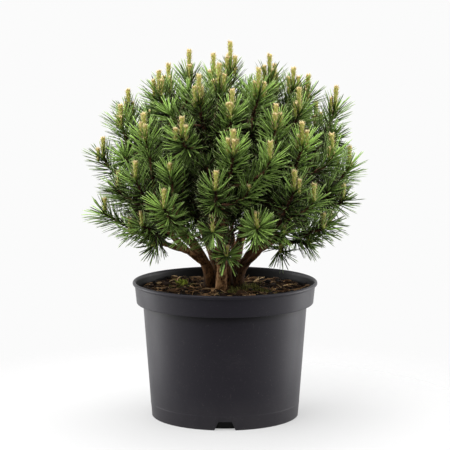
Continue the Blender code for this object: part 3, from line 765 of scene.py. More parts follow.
class Nodes:
    """Short ways to add linked shader nodes to one tree."""

    def __init__(self, tree: bpy.types.NodeTree) -> None:
        """Keep the tree that nodes go into."""
        self.tree = tree

    def feed(self, node: bpy.types.Node, key: str | int, value: object) -> None:
        """Link an output socket to an input, or set the input's own value."""
        socket = node.inputs[key]
        if isinstance(value, bpy.types.NodeSocket):
            self.tree.links.new(value, socket)
        else:
            socket.default_value = value

    def add(self, kind: str, *terms: object, **inputs: object) -> bpy.types.Node:
        """Add a node.

        Args:
            kind: Blender's name of the node's type, without ShaderNode.
            *terms: values or output sockets for the first inputs.
            **inputs: the same by name, with underscores for spaces; a name in small letters is
                an attribute of the node.

        Returns:
            The new node.
        """
        node = self.tree.nodes.new("ShaderNode" + kind)
        for key, value in inputs.items():
            if key.islower():
                setattr(node, key, value)
        for index, value in enumerate(terms):
            self.feed(node, index, value)
        for key, value in inputs.items():
            if not key.islower():
                self.feed(node, key.replace("_", " "), value)
        return node

    def maths(self, operation: str, first: object, *others: object) -> bpy.types.NodeSocket:
        """The result of an arithmetic operation, taken term by term from the left."""
        for other in others:
            first = self.add("Math", first, other, operation=operation).outputs[0]
        return first

    def mix(self, share: object, low: object, high: object, blend: str = "MIX") -> object:
        """A blend of two colours."""
        node = self.add("Mix", share, data_type="RGBA", blend_type=blend)
        self.feed(node, 6, low)
        self.feed(node, 7, high)
        return node.outputs[2]

    def ramp(self, factor: object, stops: tuple[tuple[float, Colour], ...]) -> object:
        """A colour taken from stops along a ramp."""
        node = self.add("ValToRGB", factor)
        elements = node.color_ramp.elements
        for index, (place, colour) in enumerate(stops):
            stop = elements[index] if index < 2 else elements.new(place)
            stop.position = place
            stop.color = (*colour, 1)
        return node.outputs[0]

    def greys(self, factor: object, *stops: Pair) -> object:
        """A grey taken from stops along a ramp."""
        return self.ramp(factor, tuple((place, (level,) * 3) for place, level in stops))

    def span(self, value: object, low: float, high: float) -> object:
        """A value's share of the way from one level to another, held from 0 to 1."""
        return self.add("MapRange", Value=value, From_Min=low, From_Max=high).outputs[0]

    def place(self) -> bpy.types.NodeSocket:
        """Object coordinates."""
        return self.add("TexCoord").outputs["Object"]

    def stretched(self, where: object, height: float) -> object:
        """Coordinates whose Z is scaled."""
        return self.add("Mapping", Vector=where, Scale=(1, 1, height)).outputs[0]

    def noise(self, where: object, scale: object, detail: float = 3, rough: float = 0.55) -> object:
        """A noise value at coordinates."""
        inputs = {"Vector": where, "Scale": scale, "Detail": detail, "Roughness": rough}
        return self.add("TexNoise", **inputs).outputs["Fac"]

    def carried(self, name: str) -> bpy.types.NodeSocket:
        """A value that the mesh's points carry."""
        return self.add("Attribute", attribute_name=name).outputs["Fac"]


def tone_group() -> bpy.types.NodeTree:
    """A group that shifts a colour light or dark by a carried tone and by noise on the piece."""
    group = bpy.data.node_groups.new("tone shift", "ShaderNodeTree")
    for key, kind, value in (
        ("Colour", "NodeSocketColor", (0.5, 0.5, 0.5, 1)),
        ("Tone", "NodeSocketFloat", 0.5),
        ("Strength", "NodeSocketFloat", 0.5),
        ("Grain", "NodeSocketFloat", 900.0),
    ):
        socket = group.interface.new_socket(key, in_out="INPUT", socket_type=kind)
        socket.default_value = value
    for key, kind in (("Colour", "NodeSocketColor"), ("Grain", "NodeSocketFloat")):
        group.interface.new_socket(key, in_out="OUTPUT", socket_type=kind)
    n = Nodes(group)
    given = group.nodes.new("NodeGroupInput").outputs
    out = group.nodes.new("NodeGroupOutput")
    grain = n.add("TexNoise", Vector=n.place(), Scale=given["Grain"], Detail=4.0).outputs["Fac"]
    shade = n.maths("ADD", n.maths("MULTIPLY", grain, 0.5), given["Tone"])
    shade = n.maths("MULTIPLY", n.maths("SUBTRACT", shade, 0.75), given["Strength"])
    scaled = n.add("VectorMath", given["Colour"], operation="SCALE")
    n.feed(scaled, "Scale", n.maths("ADD", shade, 1.0))
    n.feed(out, "Colour", scaled.outputs[0])
    n.feed(out, "Grain", grain)
    return group


@dataclass
class Workshop:
    """Starts materials, and holds the shader group that several of them share."""

    tone: bpy.types.NodeTree

    def start(self, name: str, **fixed: object) -> tuple[bpy.types.Material, Nodes, bpy.types.Node]:
        """A new material with its node helper and its Principled shader.

        Args:
            name: the material's name.
            **fixed: values set on the shader's own sockets, with underscores for spaces.

        Returns:
            The material, the helper and the shader.
        """
        material = bpy.data.materials.new(name)
        material.use_nodes = True
        shader = material.node_tree.nodes["Principled BSDF"]
        for key, value in fixed.items():
            shader.inputs[key.replace("_", " ")].default_value = value
        return material, Nodes(material.node_tree), shader

    def paint(
        self, n: Nodes, shader: bpy.types.Node, colour: object, strength: float, grain: float
    ) -> object:
        """Feed a colour, shifted by the tone group, to the shader.

        Args:
            n: the material's node helper.
            shader: its Principled shader.
            colour: the colour before the shift.
            strength: how far the tone shifts it.
            grain: scale of the noise that shifts it too.

        Returns:
            The noise's value.
        """
        node = n.tree.nodes.new("ShaderNodeGroup")
        node.node_tree = self.tone
        for index, value in enumerate((colour, n.carried("tone"), strength, grain)):
            n.feed(node, index, value)
        n.feed(shader, "Base Color", node.outputs["Colour"])
        return node.outputs["Grain"]

    def bump(
        self, n: Nodes, shader: bpy.types.Node, height: object, strength: float, far: float
    ) -> None:
        """Feed a height to the shader's Normal through a bump node."""
        bump = n.add("Bump", Height=height, Strength=strength, Distance=far)
        n.feed(shader, "Normal", bump.outputs["Normal"])


@dataclass(frozen=True)
class NeedleFinish:
    """Green needles, paler at the tip, darkened at the foot by painted shade."""

    # the lowest tones stand partly for withered needles and partly for painted shade on shaded
    # shoots
    withered_and_shade: Colour = (0.018, 0.011, 0.003)
    dark: Colour = (0.006, 0.014, 0.001)
    light: Colour = (0.282, 0.448, 0.094)
    pale: Colour = (0.46, 0.53, 0.27)
    pale_at: tuple[Pair, ...] = ((0.0, 0.2), (0.12, 0.0), (0.86, 0.0), (1.0, 0.6))
    shade_at: tuple[Pair, ...] = ((0.0, 0.30), (0.45, 0.85), (1.0, 1.0))

    def build(self, shop: Workshop) -> bpy.types.Material:
        """The material, whose colour follows the carried tone and the place along a needle."""
        material, n, shader = shop.start("needle_green", Roughness=0.5, Specular_IOR_Level=0.09)
        along = n.carried("along")
        stops = ((0.0, self.withered_and_shade), (0.03, self.dark), (1.0, self.light))
        body = n.ramp(n.carried("tone"), stops)
        body = n.mix(n.greys(along, *self.pale_at), body, (*self.pale, 1))
        # painted shade: each needle darkens towards its foot, where the twig and other needles
        # shade it
        body = n.mix(1.0, body, n.greys(along, *self.shade_at), "MULTIPLY")
        shop.paint(n, shader, body, 0.35, 260.0)
        return material


@dataclass(frozen=True)
class CandleFinish:
    """Upright buds: yellow green bodies under tan scales with cream tips."""

    green: Colour = (0.20, 0.25, 0.035)
    yellow: Colour = (0.36, 0.34, 0.075)
    tan: Colour = (0.37, 0.245, 0.090)
    cream: Colour = (0.60, 0.55, 0.30)

    def build(self, shop: Workshop) -> bpy.types.Material:
        """The material, driven by the kind that the points carry, from body to scale tip."""
        material, n, shader = shop.start("candle_scales", Roughness=0.6, Specular_IOR_Level=0.3)
        stops = ((0.0, self.green), (0.3, self.yellow), (0.6, self.tan), (1.0, self.cream))
        grain = shop.paint(n, shader, n.ramp(n.carried("kind"), stops), 0.35, 1400.0)
        shop.bump(n, shader, grain, 0.35, 0.3 * MM)
        return material


@dataclass(frozen=True)
class BarkFinish:
    """Rough brown bark with pale flakes on its ridges and dark cracks between them."""

    name: str
    crack: Colour
    ridge: Colour
    flake: Colour
    grain: float

    def build(self, shop: Workshop) -> bpy.types.Material:
        """The material, whose colour follows the carried relief and noise on the piece."""
        material, n, shader = shop.start(self.name, Roughness=0.86, Specular_IOR_Level=0.10)
        mottle = n.maths("MULTIPLY", n.noise(n.place(), self.grain, 5, 0.65), 0.45)
        # on the trunk and boughs the carried relief also holds painted shade near the soil
        level = n.maths("ADD", n.maths("MULTIPLY", n.carried("relief"), 0.65), mottle)
        colour = n.ramp(level, ((0.3, self.crack), (0.62, self.ridge), (0.85, self.flake)))
        grain = shop.paint(n, shader, colour, 0.4, self.grain * 3)
        shop.bump(n, shader, grain, 0.55, 0.5 * MM)
        return material


@dataclass(frozen=True)
class LitterFinish:
    """Loose matter of the potting mix, coloured by a carried tone along a ramp."""

    name: str
    stops: tuple[tuple[float, Colour], ...]

    def build(self, shop: Workshop) -> bpy.types.Material:
        """The material: tone picks the ramp's colour, fine noise varies it and its bump."""
        material, n, shader = shop.start(self.name, Roughness=0.93, Specular_IOR_Level=0.2)
        grain = shop.paint(n, shader, n.ramp(n.carried("tone"), self.stops), 0.5, 1500.0)
        shop.bump(n, shader, grain, 0.6, 0.5 * MM)
        return material


@dataclass(frozen=True)
class PlasticFinish:
    """Satin moulded black plastic with a fine grain, faint scuffs and dust specks.

    It is black just under the band's ledge, inside above the soil and under the floor, where
    hardly any light gets in.
    """

    black: Colour = (0.0120, 0.0108, 0.0150)
    dust: Colour = (0.30, 0.28, 0.26)
    ledge: float = 147.4 * MM
    ledge_shade: float = 9 * MM
    inner_radius: float = 115.4 * MM
    floor_radius: float = 91 * MM
    floor_height: float = 14 * MM
    film_height: float = 45 * MM

    def marks(
        self, n: Nodes, where: object, cloud: object, height: object
    ) -> tuple[object, object]:
        """The thin scuffs, and the dust in all: scuffs, rubbed bands, specks and a low film."""
        scuff = n.greys(n.noise(n.stretched(where, 0.12), 420, 2, 0.8), (0.66, 0), (0.74, 1))
        bands = n.noise(n.stretched(where, 9), 190, 3, 0.7)
        rubbed = n.maths("MULTIPLY", n.noise(where, 18, 2), bands)
        rubbed = n.greys(rubbed, (0.32, 0), (0.42, 1))
        specks = n.greys(n.noise(where, 1100, 1, 0.4), (0.745, 0), (0.76, 1))
        film = n.maths("MULTIPLY", n.span(height, self.film_height, 0.0), cloud, 0.06)
        strengths = ((scuff, 0.03), (specks, 0.2), (rubbed, 0.02))
        return scuff, n.maths("ADD", *(n.maths("MULTIPLY", m, s) for m, s in strengths), film)

    def unlit(self, n: Nodes, where: object, height: object) -> object:
        """A mask of the places that hardly any light gets to."""
        flat = n.add("VectorMath", where, (1, 1, 0), operation="MULTIPLY").outputs[0]
        away = n.add("VectorMath", flat, operation="LENGTH").outputs["Value"]
        shade = n.span(height, self.ledge - self.ledge_shade, self.ledge)
        limits = (
            (shade, n.maths("LESS_THAN", height, self.ledge + 0.3 * MM)),
            (
                n.maths("LESS_THAN", away, self.inner_radius),
                n.maths("GREATER_THAN", height, self.ledge + 10 * MM),
            ),
            (
                n.maths("LESS_THAN", away, self.floor_radius),
                n.maths("LESS_THAN", height, self.floor_height),
            ),
        )
        return n.maths("MAXIMUM", *(n.maths("MULTIPLY", a, b) for a, b in limits))

    def build(self, shop: Workshop) -> bpy.types.Material:
        """The material: noise drives its roughness, marks lighten it and unlit places are black."""
        material, n, shader = shop.start("satin_black_plastic", Specular_IOR_Level=0.15)
        where = n.place()
        height = n.add("SeparateXYZ", where).outputs["Z"]
        cloud = n.noise(where, 28, 4)
        scuff, marks = self.marks(n, where, cloud, height)
        colour = n.mix(marks, (*self.black, 1), (*self.dust, 1))
        colour = n.mix(self.unlit(n, where, height), colour, (0, 0, 0, 1))
        n.feed(shader, "Base Color", colour)
        rough = n.maths("ADD", n.maths("MULTIPLY", cloud, 0.16), 0.36)
        n.feed(shader, "Roughness", n.maths("ADD", rough, n.maths("MULTIPLY", scuff, 0.08)))
        shop.bump(n, shader, n.noise(where, 2600, 2), 0.10, 0.12 * MM)
        return material


# Sub-assemblies


@dataclass
class Pot:
    """The nursery pot: tapered thin body, wider band over a ledge, rolled lip, foot and notches.

    A fine moulding line runs round the body just above the notches.
    """

    height: float = 175.8 * MM
    foot_radius: float = 95.6 * MM
    foot_width: float = 2.2 * MM
    rib_radius: float = 86 * MM
    rib_gap: float = 0.3 * MM
    recess: float = 12 * MM
    body_top_radius: float = 106.3 * MM
    band_bottom: float = 147.4 * MM
    band_bottom_radius: float = 114.6 * MM
    band_top: float = 171.2 * MM
    band_top_radius: float = 117 * MM
    lip_radius: float = 120 * MM
    wall: float = 1.8 * MM
    steps: int = 240
    corner_steps: int = 6
    notch_count: int = 4
    notch_widths: Pair = (17 * MM, 27 * MM)
    notch_height: float = 11 * MM
    line_height: float = 18.5 * MM

    def rounded(self, corners: list[tuple[float, float, float]]) -> Floats:
        """A profile through corners, each rounded off by its own radius.

        Formula: each corner is replaced by the quadratic curve between the points at its radius
        along both of its sides.

        Args:
            corners: radius, height and rounding of each corner; the first and last stay sharp.

        Returns:
            Points of the profile, shape (n, 2).
        """
        spots = np.array([c[:2] for c in corners])
        out = [spots[:1]]
        for before, at, after, (_, _, size) in zip(spots, spots[1:], spots[2:], corners[1:]):
            start, end = at + unit(before - at) * size, at + unit(after - at) * size
            out.append(bezier(start, at, end, self.corner_steps) if size else at[None])
        out.append(spots[-1:])
        return np.concatenate(out)

    def profile(self) -> Floats:
        """The half-section from the floor's middle below, round the lip, to its middle above."""
        inner_foot = self.foot_radius - self.foot_width
        inner_rib = self.rib_radius - self.foot_width
        floor = self.recess + self.wall
        ledge_top = self.band_bottom + self.wall
        at_line = self.body_radius(self.line_height)
        parts = [
            (0.0, self.recess, 0),
            (inner_rib, self.recess, 0),
            (inner_rib, self.rib_gap, 0),
            (self.rib_radius, self.rib_gap, 0),
            (self.rib_radius, self.recess, 0),
            (inner_foot - 0.6 * MM, self.recess, 0.8),
            (inner_foot, 0.0, 0.3),
            (self.foot_radius, 0.0, 0.7),
            (at_line + 0.09 * MM, self.line_height - 1.0 * MM, 0.5),
            (at_line - 0.03 * MM, self.line_height, 0.5),
            (self.body_top_radius, self.band_bottom, 1.2),
            (self.band_bottom_radius - 1.4 * MM, self.band_bottom, 0.3),
            (self.band_bottom_radius, self.band_bottom + 0.5 * MM, 0.9),
            (self.band_top_radius, self.band_top, 1.0),
            (self.lip_radius - 0.8 * MM, self.band_top + 0.3 * MM, 0.8),
            (self.lip_radius, self.band_top + 1.8 * MM, 1.2),
            (self.lip_radius - 0.9 * MM, self.height, 1.6),
            (self.lip_radius - 3.6 * MM, self.height, 1.4),
            (self.band_top_radius - self.wall, self.height - 3.4 * MM, 1.4),
            (self.band_bottom_radius - self.wall, ledge_top, 0.8),
            (self.body_top_radius - self.wall, ledge_top, 0.8),
            (self.body_radius(floor) - self.wall, floor, 1.5),
            (0.0, floor, 0),
        ]
        return self.rounded([(radius, height, size * MM) for radius, height, size in parts])

    def body_radius(self, height: float) -> float:
        """Outer radius of the body's straight taper at a height."""
        widening = self.body_top_radius - self.foot_radius
        return self.foot_radius + widening * height / self.band_bottom

    def turns(self) -> Floats:
        """Angles of the columns: even steps, with more of them where the notches' corners are."""
        middle = (np.arange(self.notch_count) - 1) * 2 * math.pi / self.notch_count
        near = 0.6 * MM
        half = [np.linspace(w - near, w + near, 4) / 2 for w in self.notch_widths]
        half = np.concatenate([*half, *(-h for h in half)]) / self.foot_radius
        corners = (middle[:, None] + half[None]).ravel() % (2 * math.pi)
        return np.unique(np.concatenate([ring(self.steps), corners]).round(6))

    def notch_lift(self, turn: Floats) -> Floats:
        """How far the foot's edge is lifted at each angle.

        Formula: zero outside the wide base, full inside the narrow top, a straight slope between.

        Args:
            turn: angles in radians.

        Returns:
            Heights in metres.
        """
        step = 2 * math.pi / self.notch_count
        away = np.abs((turn + step / 2) % step - step / 2) * self.foot_radius
        narrow, wide = (w / 2 for w in self.notch_widths)
        return self.notch_height * np.clip((wide - away) / (wide - narrow), 0, 1)

    def surface(self) -> Surface:
        """The turned shell.

        Formula: (r cos a, r sin a, z') for each profile point, where a height z under the top of
        the notches becomes z' = lift + z (top - lift) / top.

        Returns:
            The closed surface, with its poles on the axis.
        """
        profile = self.profile()
        a = self.turns()
        r, z = profile[1:-1, 0][:, None], profile[1:-1, 1][:, None]
        top = self.recess - self.rib_gap
        lift = self.notch_lift(a)[None]
        raised = (z < top) & (r > self.rib_radius + 1 * MM)
        lifted = np.where(raised, lift + z * (top - lift) / top, z)
        rings = np.stack([r * np.cos(a), r * np.sin(a), lifted], axis=-1)[None]
        foot, tip = (np.array([[0, 0, z_end]]) for z_end in profile[[0, -1], 1])
        return closed_grids(rings, foot, tip)

    def build(self, shop: Workshop) -> None:
        """Make and dress the pot."""
        plastic = PlasticFinish().build(shop)
        make_piece("nursery_pot", self.surface(), plastic, ("pot",), 40)


def turn_points(points: Floats, yaw: Floats, tilt: Floats) -> Floats:
    """Points tilted about X and then turned about Z, one pair of angles for each block."""
    shape = (len(yaw),) + (1,) * (points.ndim - 2)
    x, y, z = np.moveaxis(points, -1, 0)
    c, s = np.cos(tilt).reshape(shape), np.sin(tilt).reshape(shape)
    y, z = y * c - z * s, y * s + z * c
    c, s = np.cos(yaw).reshape(shape), np.sin(yaw).reshape(shape)
    return xyz(x * c - y * s, x * s + y * c, z)


@dataclass
class Soil:
    """The potting mix: an uneven crumbly bed, chips, fibres, straw, moss and a green sprig.

    The mound is a height and a width, the ledge and the floor are a radius and a height, and the
    sprig is a place across and back. Each cushion of moss gives its place across and back, its
    size and its height, in mm. The tones of chips are the two parameters of a beta distribution,
    those of moss a mean and a spread.
    """

    top: float = 162 * MM
    side_rise: float = 3 * MM
    uneven: float = 2.6 * MM
    pad: float = 31 * MM
    crumb: float = 6.4 * MM
    mound: Pair = (5 * MM, 34 * MM)
    wall_radius: float = 112.2 * MM
    ledge: Pair = (103.9 * MM, 150.9 * MM)
    floor: Pair = (94.0 * MM, 11.3 * MM)
    rows: int = 150
    steps: int = 300
    chips: int = 1500
    chip_tones: Pair = (0.6, 1.9)
    fibres: int = 1500
    fibre_lengths: Pair = (7 * MM, 24 * MM)
    straws: int = 300
    straw_lengths: Pair = (7 * MM, 26 * MM)
    moss: tuple[tuple[float, float, float, float], ...] = (
        (23, -14, 13, 6.0),
        (38, -10, 12, 6.5),
        (50, -2, 9, 5.0),
        (10, -27, 6, 3.6),
        (-24, -10, 7, 2.4),
        (70, -20, 12, 2.5),
        (-60, 30, 16, 3.0),
        (30, 62, 18, 3.0),
        (-8, -38, 7, 1.8),
        (85, -40, 8, 2.0),
    )
    moss_density: float = 5
    moss_tones: Pair = (0.42, 0.26)
    sprig: Pair = (-56 * MM, 48 * MM)
    sprig_blades: int = 46
    seed: int = 5

    def height(self, x: Floats, y: Floats) -> Floats:
        """Top of the bed.

        Formula: the packed soil's two crossing sine waves, eased to level round the trunk, plus
        layered noise for crumbs, a gentle mound up against the trunk, another under the moss and
        a rise with the square of x.

        Args:
            x: places across.
            y: places back.

        Returns:
            Heights in metres.
        """
        away = np.hypot(x, y)
        wave = np.sin(x / 0.021 + 1.3) * np.cos(y / 0.027) + 0.6 * np.sin((x - y) / 0.014)
        ease = np.clip((away - self.pad) / (30 * MM), 0, 1)
        base = self.top + self.uneven * (wave * ease - 0.8 * ease)
        spot = xyz(x, y, 0)
        crumbs = layered_noise(spot / 0.012, 5, 3) + 0.5 * layered_noise(spot / 0.004, 3, 9)
        edge = np.clip((self.wall_radius - away) / (6 * MM), 0, 1)
        high, wide = self.mound
        mossy = ((x - 32 * MM) / (20 * MM)) ** 2 + ((y + 10 * MM) / (16 * MM)) ** 2
        base = base + high * np.exp(-((away / wide) ** 2)) + 3 * MM * np.exp(-mossy)
        base = base + self.side_rise * (x / self.wall_radius) ** 2
        return base + self.crumb * crumbs * (0.35 + 0.65 * edge) - 1.2 * MM * (1 - edge)

    def on_bed(self, x: Floats, y: Floats, lift: Floats | float = 0.0) -> Floats:
        """Points at a height over the bed."""
        return xyz(x, y, self.height(x, y) + lift)

    def bed(self) -> Surface:
        """The bed as one closed grid: rows over the top, down the wall and across the floor."""
        a = ring(self.steps)
        r = np.linspace(0.6 * MM, self.wall_radius, self.rows)[:, None]
        over = self.on_bed(r * np.cos(a), r * np.sin(a))
        under = ((self.wall_radius, self.ledge[1]), self.ledge, self.floor)
        below = np.array([xyz(s * np.cos(a), s * np.sin(a), z) for s, z in under])
        rings = np.concatenate([over, below])[::-1][None]
        bed = closed_grids(rings, np.array([[0, 0, self.floor[1]]]), over[:1].mean(axis=1))
        coarse, fine = lattice_noise(bed.points / 0.007, 4), lattice_noise(bed.points / 0.0026, 6)
        raised = np.clip((bed.points[:, 2] - self.top + 3 * MM) / (6 * MM), 0, 1)
        bed.carry("tone", np.clip(0.35 * coarse + 0.5 * fine + 0.6 * raised - 0.45, 0, 1))
        return bed

    def scatter(self, rng: np.random.Generator, count: int, least: float) -> tuple[Floats, Floats]:
        """Random places on the bed, even over its area, from a least radius outwards."""
        r = np.sqrt(rng.uniform((least / self.wall_radius) ** 2, 0.93, count)) * self.wall_radius
        a = rng.uniform(0, 2 * math.pi, count)
        return r * np.cos(a), r * np.sin(a)

    def chip_surface(self, rng: np.random.Generator) -> Surface:
        """Chips of bark and peat: small tubes of three jagged rings, flattened and turned.

        Formula: a ring angle a and a height h from -1 to 1 give a lump (c(h) cos a, c(h) sin a,
        h), scaled by three half sizes, jittered by noise, turned by a yaw and a tilt.

        Returns:
            All chips as one surface.
        """
        count, sides, levels = self.chips, 6, np.array([-0.75, 0.0, 0.75])
        x, y = self.scatter(rng, count, 26 * MM)
        a = ring(sides)
        girth = np.sqrt(1 - levels**2)[:, None] + 0.15
        lump = xyz(girth * np.cos(a), girth * np.sin(a), levels[:, None])
        size = rng.gamma(1.9, 0.75, count)[:, None] * MM + 0.6 * MM
        scale = (size * rng.uniform([0.7, 0.35, 0.2], [1.5, 0.8, 0.45], (count, 3)))[:, None, None]
        rings = lump[None] * (1 + rng.uniform(-0.3, 0.3, (count, 3, sides, 1))) * scale
        yaw, tilt = rng.uniform(0, 2 * math.pi, count), rng.normal(0, 0.45, count)
        ends = np.array([[0, 0, -1.0], [0, 0, 1.0]])[None, :, None] * scale
        at = self.on_bed(x, y, 0.3 * size[:, 0])
        ends = turn_points(ends, yaw, tilt)[:, :, 0] + at[:, None]
        rings = turn_points(rings, yaw, tilt) + at[:, None, None]
        chips = closed_grids(rings, ends[:, 0], ends[:, 1])
        chips.carry("tone", rng.beta(*self.chip_tones, count))
        return chips

    def fibre_surface(
        self, rng: np.random.Generator, count: int, length: Pair, wide: float, least: float
    ) -> Surface:
        """Loose fibres or straws lying on the bed as thin bent tubes.

        Formula: each is a quadratic curve whose ends lie on the bed a length apart, with its
        handle pushed aside and up.

        Args:
            rng: the random source.
            count: how many.
            length: shortest and longest, in metres.
            wide: radius of the thickest.
            least: nearest distance to the axis.

        Returns:
            All of them as one surface.
        """
        x, y = self.scatter(rng, count, least)
        yaw = rng.uniform(0, 2 * math.pi, count)
        far = rng.uniform(*length, count)
        ends = []
        for sign in (-0.5, 0.5):
            ex, ey = x + sign * far * np.cos(yaw), y + sign * far * np.sin(yaw)
            pull = np.minimum(1, (self.wall_radius - 3 * MM) / np.hypot(ex, ey))
            ends.append(self.on_bed(ex * pull, ey * pull, rng.uniform(0, 1.6, count) * MM))
        aside = xyz(-np.sin(yaw), np.cos(yaw), 0) * rng.normal(0, 0.38, (count, 1))
        bow = aside * far[:, None] + UP * rng.uniform(0.5, 3.0, (count, 1)) * MM
        paths = bezier(ends[0], (ends[0] + ends[1]) / 2 + bow, ends[1], 6)
        thick = rng.uniform(0.45, 1.0, (count, 1)) * wide * np.array([0.5, 1, 1, 0.95, 0.8, 0.3])
        surface = tubes(paths, thick, 4)
        surface.carry("tone", rng.uniform(0, 1, count) ** 1.8)
        return surface

    def moss_surface(self, rng: np.random.Generator) -> Surface:
        """Cushions of moss: fine upright blades over each patch, longest at its middle.

        Formula: feet fill each patch by the square root of a random number; the blade's length
        falls with the square of the distance from the middle.

        Returns:
            All blades as one surface.
        """
        feet, tips, tones = [], [], []
        for x, y, size, tall in self.moss:
            count = int(size * size * self.moss_density)
            far = np.sqrt(rng.uniform(0, 1, count))
            spot = xyz(rng.uniform(0, 6, count), np.zeros(count), x)
            far = far * (0.75 + 0.5 * lattice_noise(spot, 2))
            a = rng.uniform(0, 2 * math.pi, count)
            px = (x + size * far * np.cos(a) * 1.25) * MM
            py = (y + size * far * np.sin(a) * 0.8) * MM
            feet.append(self.on_bed(px, py, -0.6 * MM))
            long = tall * (1.1 - 0.6 * np.clip(far, 0, 1) ** 2) * rng.uniform(0.6, 1.2, count) * MM
            lean = rng.normal(0, 0.35, (count, 2))
            way = unit(np.concatenate([lean, np.ones((count, 1))], axis=1))
            tips.append(feet[-1] + way * long[:, None])
            tones.append(np.clip(rng.normal(*self.moss_tones, count), 0, 1))
        foot, tip = np.concatenate(feet), np.concatenate(tips)
        thick = np.broadcast_to(np.array([0.45, 0.4, 0.1]) * MM, (len(foot), 3))
        surface = tubes(bezier(foot, (foot + tip) / 2, tip, 3), thick, 3)
        surface.carry("tone", np.concatenate(tones))
        return surface

    def sprig_surface(self, rng: np.random.Generator) -> Surface:
        """A bright green sprig: blades that fan out of one foot at the left of the bed."""
        count = self.sprig_blades
        foot = self.on_bed(*(np.array(self.sprig)[:, None] + rng.normal(0, 3.0, (2, count)) * MM))
        way = direction(rng.uniform(0, 360, count), rng.uniform(25, 80, count))
        long = rng.uniform(6, 13, (count, 1)) * MM
        paths = bezier(foot, foot + unit(way + UP) * long * 0.6, foot + way * long, 5)
        thick = np.broadcast_to(np.array([0.5, 1.0, 1.2, 0.9, 0.15]) * MM, (count, 5))
        surface = tubes(paths, thick, 4)
        surface.carry("tone", rng.uniform(0.2, 1, count))
        return surface

    def build(self, shop: Workshop) -> None:
        """Make and dress the bed and everything loose on it."""
        rng = np.random.default_rng(self.seed)
        finishes = {
            "peat": ((0.0, (0.007, 0.004, 0.003)), (1.0, (0.080, 0.044, 0.021))),
            "bark_chips": (
                (0.0, (0.004, 0.003, 0.002)),
                (0.45, (0.045, 0.022, 0.010)),
                (1.0, (0.42, 0.25, 0.12)),
            ),
            "straw": ((0.0, (0.16, 0.08, 0.035)), (1.0, (0.62, 0.44, 0.23))),
            "moss": ((0.0, (0.008, 0.012, 0.003)), (1.0, (0.28, 0.27, 0.070))),
            "sprig": ((0.0, (0.06, 0.09, 0.012)), (1.0, (0.36, 0.43, 0.06))),
        }
        made = {name: LitterFinish(name, stops).build(shop) for name, stops in finishes.items()}
        chips = self.chip_surface(rng)
        fibres = self.fibre_surface(rng, self.fibres, self.fibre_lengths, 0.55 * MM, 22 * MM)
        straws = self.fibre_surface(rng, self.straws, self.straw_lengths, 0.9 * MM, 24 * MM)
        make_piece("soil_bed", self.bed(), made["peat"], ("soil",))
        make_piece("soil_chips", chips, made["bark_chips"], sharp=30)
        make_piece("soil_fibres", fibres, made["bark_chips"], sharp=50)
        make_piece("soil_straw", straws, made["straw"], sharp=50)
        make_piece("soil_moss", self.moss_surface(rng), made["moss"], sharp=50)
        make_piece("soil_sprig", self.sprig_surface(rng), made["sprig"], sharp=50)


